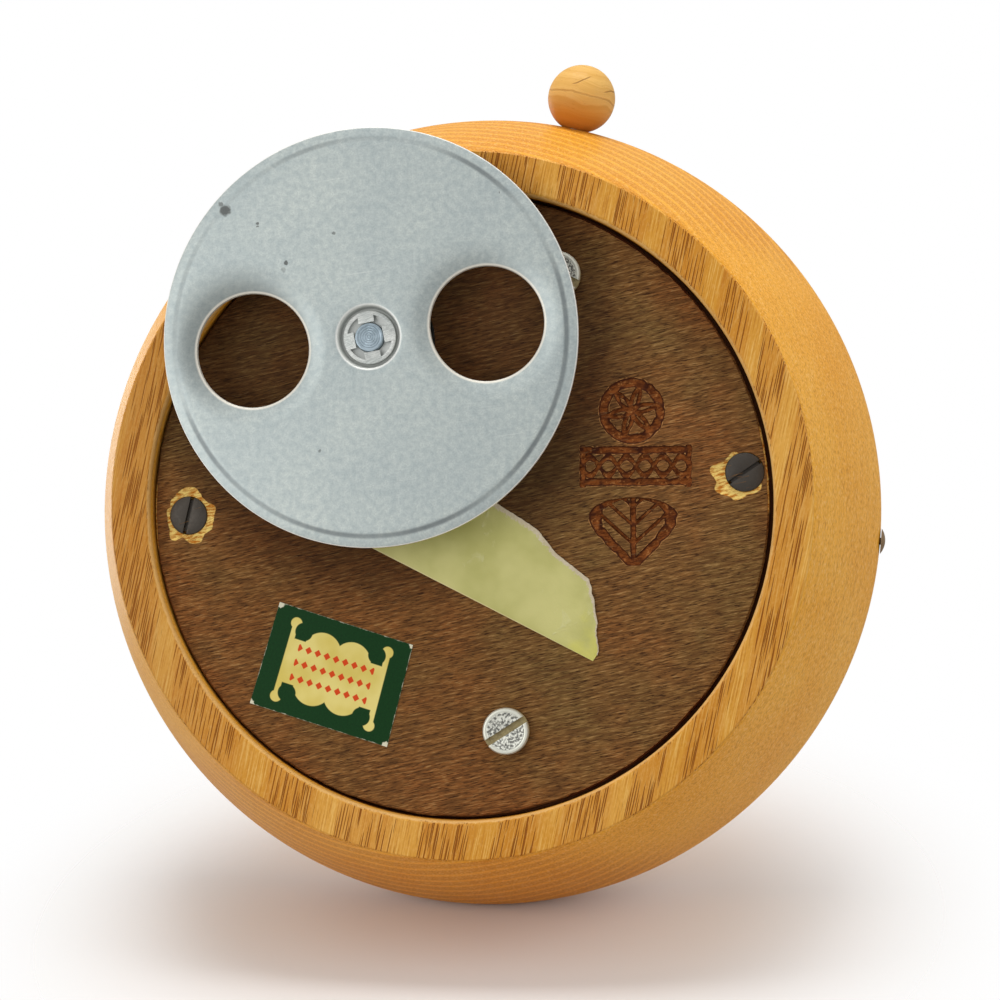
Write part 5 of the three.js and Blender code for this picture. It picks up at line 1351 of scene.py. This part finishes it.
def sticker_finish():
    material, tree, _, shader = finish("green_sticker", 0.5, Specular_IOR_Level=0.12, Coat_Weight=0.03,
                                       Coat_Roughness=0.25)
    uv = add(tree, "ShaderNodeUVMap", uv_map="sheet").outputs[0]
    from_middle = vectors(tree, "SUBTRACT", uv, (0.5, 0.5, 0.0))
    place = vectors(tree, "MULTIPLY", from_middle, (2 * half_long, 2 * half_high, 0.0))
    folded = vectors(tree, "ABSOLUTE", place)
    flat, axes = axes_of(tree, place), axes_of(tree, folded)

    # Each of these two is negative inside its shape. The larger of two cuts, and the smaller joins.
    def block(half_width, half_height, middle=0.0):
        wide = minus(tree, size_of(tree, minus(tree, axes["X"], middle)), half_width)
        return larger(tree, wide, minus(tree, axes["Y"], half_height))

    def disc(x, y, radius):
        return minus(tree, vectors(tree, "DISTANCE", folded, (x, y, 0.0)), radius)

    shape = block(8.4, 3.7)
    for part in (block(0.45, 6.0, 8.1), disc(8.0, 6.2, 0.95), disc(2.6, 2.9, 3.2)):
        shape = smaller(tree, shape, part)
    shape = larger(tree, shape, times(tree, disc(6.4, 5.2, 1.5), -1.0))
    grit = grainy(tree, place, 3.0, 3.0, 0.6)
    green = mixed(tree, grit, tone(4, 44, 12), tone(18, 68, 26))
    cloud = spread(tree, grainy(tree, place, 0.16, 2.0), 0.35, 0.65)
    gold = mixed(tree, cloud, tone(226, 204, 104), tone(240, 222, 134))
    # Rows of lozenges.
    along = maths(tree, "PINGPONG", flat["X"], 0.8)
    rows = maths(tree, "PINGPONG", flat["Y"], 1.25)
    lozenge = plus(tree, along, times(tree, rows, 0.9))
    room = larger(tree, minus(tree, axes["X"], 6.6), minus(tree, axes["Y"], 3.1))
    printed = times(tree, spread(tree, lozenge, 0.66, 0.52), spread(tree, room, 0.05, -0.05))
    # Rubbed edges and corners.
    edge = smaller(tree, minus(tree, half_long, axes["X"]), minus(tree, half_high, axes["Y"]))
    rubbed = grainy(tree, place, 0.8, 3.0, 0.7)
    worn = plus(tree, plus(tree, edge, times(tree, rubbed, -0.5)), 0.16)
    corner = vectors(tree, "DISTANCE", folded, (half_long, half_high, 0.0))
    worn = smaller(tree, worn, minus(tree, corner, times(tree, rubbed, 1.7)))
    colour = layered(tree, green, (spread(tree, shape, 0.08, -0.08), gold), (printed, (222, 74, 24)),
                     (spread(tree, worn, 0.0, -0.2), (226, 222, 196)))
    join(tree, shader, colour, grit, 0.02)
    return material


sticker_corners = [(29.93, -16.05), (7.53, -23.11), (11.85, -39.86), (34.96, -32.79)]
right_top, left_top, left_low, right_low = sticker_corners


def sticker_rise(u, v):
    """How far the paper stands off the plywood, in mm."""
    return 0.03 + 0.05 * noise.noise(Vector((u * 3, v * 3, 1))) ** 2


sticker_mesh = pasted("green_sticker", [right_low, left_low], [right_top, left_top], columns=48, rows=36,
                      thickness=0.12, rise=sticker_rise, material=sticker_finish())
piece("green_sticker", sticker_mesh, "box", "dark_plywood")

# %% [markdown]
# The strip is yellowish paper with a straight cut side and a torn side. The torn side follows measured
# corners and is jagged between them by a noise, and the paper curls up a little there.

# %% Torn strip
def strip_finish():
    material, tree, place, shader = finish("torn_paper", 0.5, Coat_Weight=0.15, Coat_Roughness=0.3)
    axes = axes_of(tree, add(tree, "ShaderNodeUVMap", uv_map="sheet").outputs[0])
    ground = mixed(tree, slow_tone(tree, place, 11.0, 0.22), tone(186, 182, 100), tone(212, 206, 130))
    far_end = plus(tree, axes["X"], times(tree, grainy(tree, place, 0.35, 3.0), 0.3))
    bright = spread(tree, far_end, 1.0, 1.12)
    crease = spread(tree, grainy(tree, turned_place(tree, place, 60.0), 0.22, 4.0, 0.6, 1.2), 0.62, 0.72)
    fibres = grainy(tree, place, 2.2, 4.0, 0.7)
    torn = spread(tree, plus(tree, axes["Y"], times(tree, fibres, 0.12)), 1.00, 1.03)
    pulp = mixed(tree, fibres, tone(176, 150, 108), tone(232, 222, 196))
    cut_edge = spread(tree, axes["Y"], 0.018, 0.004)
    colour = layered(tree, ground, (times(tree, bright, 0.7), (214, 208, 96)),
                     (times(tree, crease, 0.35), (226, 222, 168)), (torn, pulp),
                     (times(tree, cut_edge, 0.7), (226, 206, 150)))
    join(tree, shader, colour, plus(tree, fibres, crease), 0.06)
    return material


strip_lower = [(24, -2.3), (14.76, -6.98), (-22.2, -25.62)]
torn_corners = [(17, 8.5), (6, 6.2), (-2, 2.8), (-6.92, -0.16), (-13.19, -4.28), (-15.99, -7.88),
                (-21.73, -12.45), (-22.7, -17.33), (-23.02, -20.91), (-22.85, -24.64)]
strip_upper, parts = [], 14
for (x0, y0), (x1, y1) in zip(torn_corners, torn_corners[1:]):
    for k in range(parts):
        x, y = x0 + (x1 - x0) * k / parts, y0 + (y1 - y0) * k / parts
        coarse = noise.noise(Vector((x * 0.8, y * 0.8, 0)))
        fine = noise.noise(Vector((x * 2.6, y * 2.6, 4)))
        jag = 0.55 * coarse + 0.3 * fine
        strip_upper.append((x + jag, y + jag))
strip_upper.append(torn_corners[-1])


def strip_rise(u, v):
    """How far the strip stands off the plywood, in mm; most along the torn side."""
    curl = 0.35 * max(0.0, v - 0.86) / 0.14 * (0.6 + noise.noise(Vector((u * 14, 0, 2))))
    wave = 0.05 + 0.06 * noise.noise(Vector((u * 9, v * 5, 7)))
    return max(0.02, curl + wave)


strip_mesh = pasted("torn_strip", strip_lower, strip_upper, columns=150, rows=44, thickness=0.14,
                    rise=strip_rise, material=strip_finish())
piece("torn_strip", strip_mesh, "box", "dark_plywood")

# %% [markdown]
# ## Loose fibres
# Rough plywood carries a felt of tiny raised fibres that catch light from the side. Geometry Nodes
# scatter more than a thousand of them: points are spread over a mesh with a fixed seed, and a thin
# sliver of a few faces is laid at each, nearly along the grain.

# %% Geometry Nodes: scattered fibres
def random_between(tree, low, high, seed):
    values = {"Min_001": low, "Max_001": high, "Seed": seed}
    return add(tree, "FunctionNodeRandomValue", values, data_type="FLOAT").outputs[1]


def fibre_tree():
    tree, given, made = geometry_tree(
        "Scattered fibres", ("Density", "Float", 100000.0), ("Length", "Float", mm(1.5)),
        ("Width", "Float", mm(0.08)), ("Direction", "Float", 0.0), ("Swing", "Float", 0.25),
        ("Tilt", "Float", 0.1), ("Seed", "Int", 1))
    scattered = {"Mesh": given["Geometry"], "Density": given["Density"], "Seed": given["Seed"]}
    points = add(tree, "GeometryNodeDistributePointsOnFaces", scattered).outputs["Points"]
    # A cone of four sides, laid on its side, is the sliver.
    cone = {"Vertices": 4, "Side Segments": 2, "Radius Top": mm(0.012), "Radius Bottom": given["Width"],
            "Depth": given["Length"]}
    sliver = add(tree, "GeometryNodeMeshCone", cone).outputs[0]
    on_its_side = {"Geometry": sliver, "Rotation": (0.0, math.pi / 2, 0.0)}
    flat = add(tree, "GeometryNodeTransform", on_its_side).outputs[0]
    swing = random_between(tree, times(tree, given["Swing"], -1.0), given["Swing"], given["Seed"])
    tilt = random_between(tree, times(tree, given["Tilt"], -1.0), given["Tilt"], 17)
    euler = vector_of(tree, y=tilt, z=plus(tree, given["Direction"], swing))
    rotation = add(tree, "FunctionNodeEulerToRotation", {0: euler}).outputs[0]
    laid = {"Points": points, "Instance": flat, "Rotation": rotation,
            "Scale": random_between(tree, 0.4, 1.3, 5)}
    copies = add(tree, "GeometryNodeInstanceOnPoints", laid).outputs[0]
    return ended(tree, copies, given, made)


scattered_fibres = fibre_tree()
print("tree:", scattered_fibres.name)

# %% Felt of fibres on the plywood
def ring_area(x, inner, outer, height, steps=24):
    """A flat ring on which fibres are scattered."""
    points, faces = [], []
    for k in range(steps + 1):
        turn = math.radians(360 * k / steps)
        points += [mm(x + r * math.cos(turn), r * math.sin(turn), height) for r in (inner, outer)]
    for k in range(steps):
        faces.append((2 * k, 2 * k + 1, 2 * k + 3, 2 * k + 2))
    mesh = bpy.data.meshes.new("area")
    mesh.from_pydata(points, [], faces)
    return mesh


stained_fibre, tree, place, shader = finish("stained_fibre", 0.85)
uneven = grainy(tree, place, 1.4, 2.0)
join(tree, shader, mixed(tree, uneven, tone(64, 38, 18), tone(150, 112, 66)))
felt_area = ring_area(base_shift, inner=2.0, outer=49.6, height=base_face - 0.01)
felt = grown("plywood_felt", felt_area, scattered_fibres, Density=170000.0, Length=mm(1.5), Width=mm(0.035),
             Direction=math.radians(grain_lean), Swing=0.16, Tilt=0.03, Seed=3, Finish=stained_fibre)
piece("plywood_felt", tidy_faces(felt, 60), "box", "dark_plywood")

# %% [markdown]
# ## The movement inside
# The pinned cylinder, comb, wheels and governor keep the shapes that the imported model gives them,
# because they are built there tooth by tooth. Here they only get their metals.

# %% Finishes of the hidden movement
finish_of_slot = {
    "honey_wood": body_wood, "dark_plywood": plywood, "zinc_sheet": zinc, "dark_steel": dark_steel,
    "bright_steel": bright_steel, "blue_steel": blue_steel, "brass": brass, "cast_zinc": cast_zinc,
    "rusty_iron": rusty_iron,
}
slot_of_node = {part["node"]: part["material_slot"] for part in frame["record"]["subparts"]}
for name, node in frame["nodes"].items():
    for material_slot in node.material_slots:
        material_slot.material = finish_of_slot[slot_of_node[name]]
print("carried-over nodes dressed:", len(frame["nodes"]))

# %% [markdown]
# ## Size
# The dressed model must stay inside the imported one. Both boxes, of the imported model and of the
# dressed one, are written out so that they can be compared.

# %% Write both boxes and finish
sizes = {"cad": [list(corner) for corner in cad_box], "visual": [list(corner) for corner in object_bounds()]}
for kind, (low, high) in sizes.items():
    print(kind, "box mm:", [round(v * 1000, 2) for v in Vector(high) - Vector(low)])
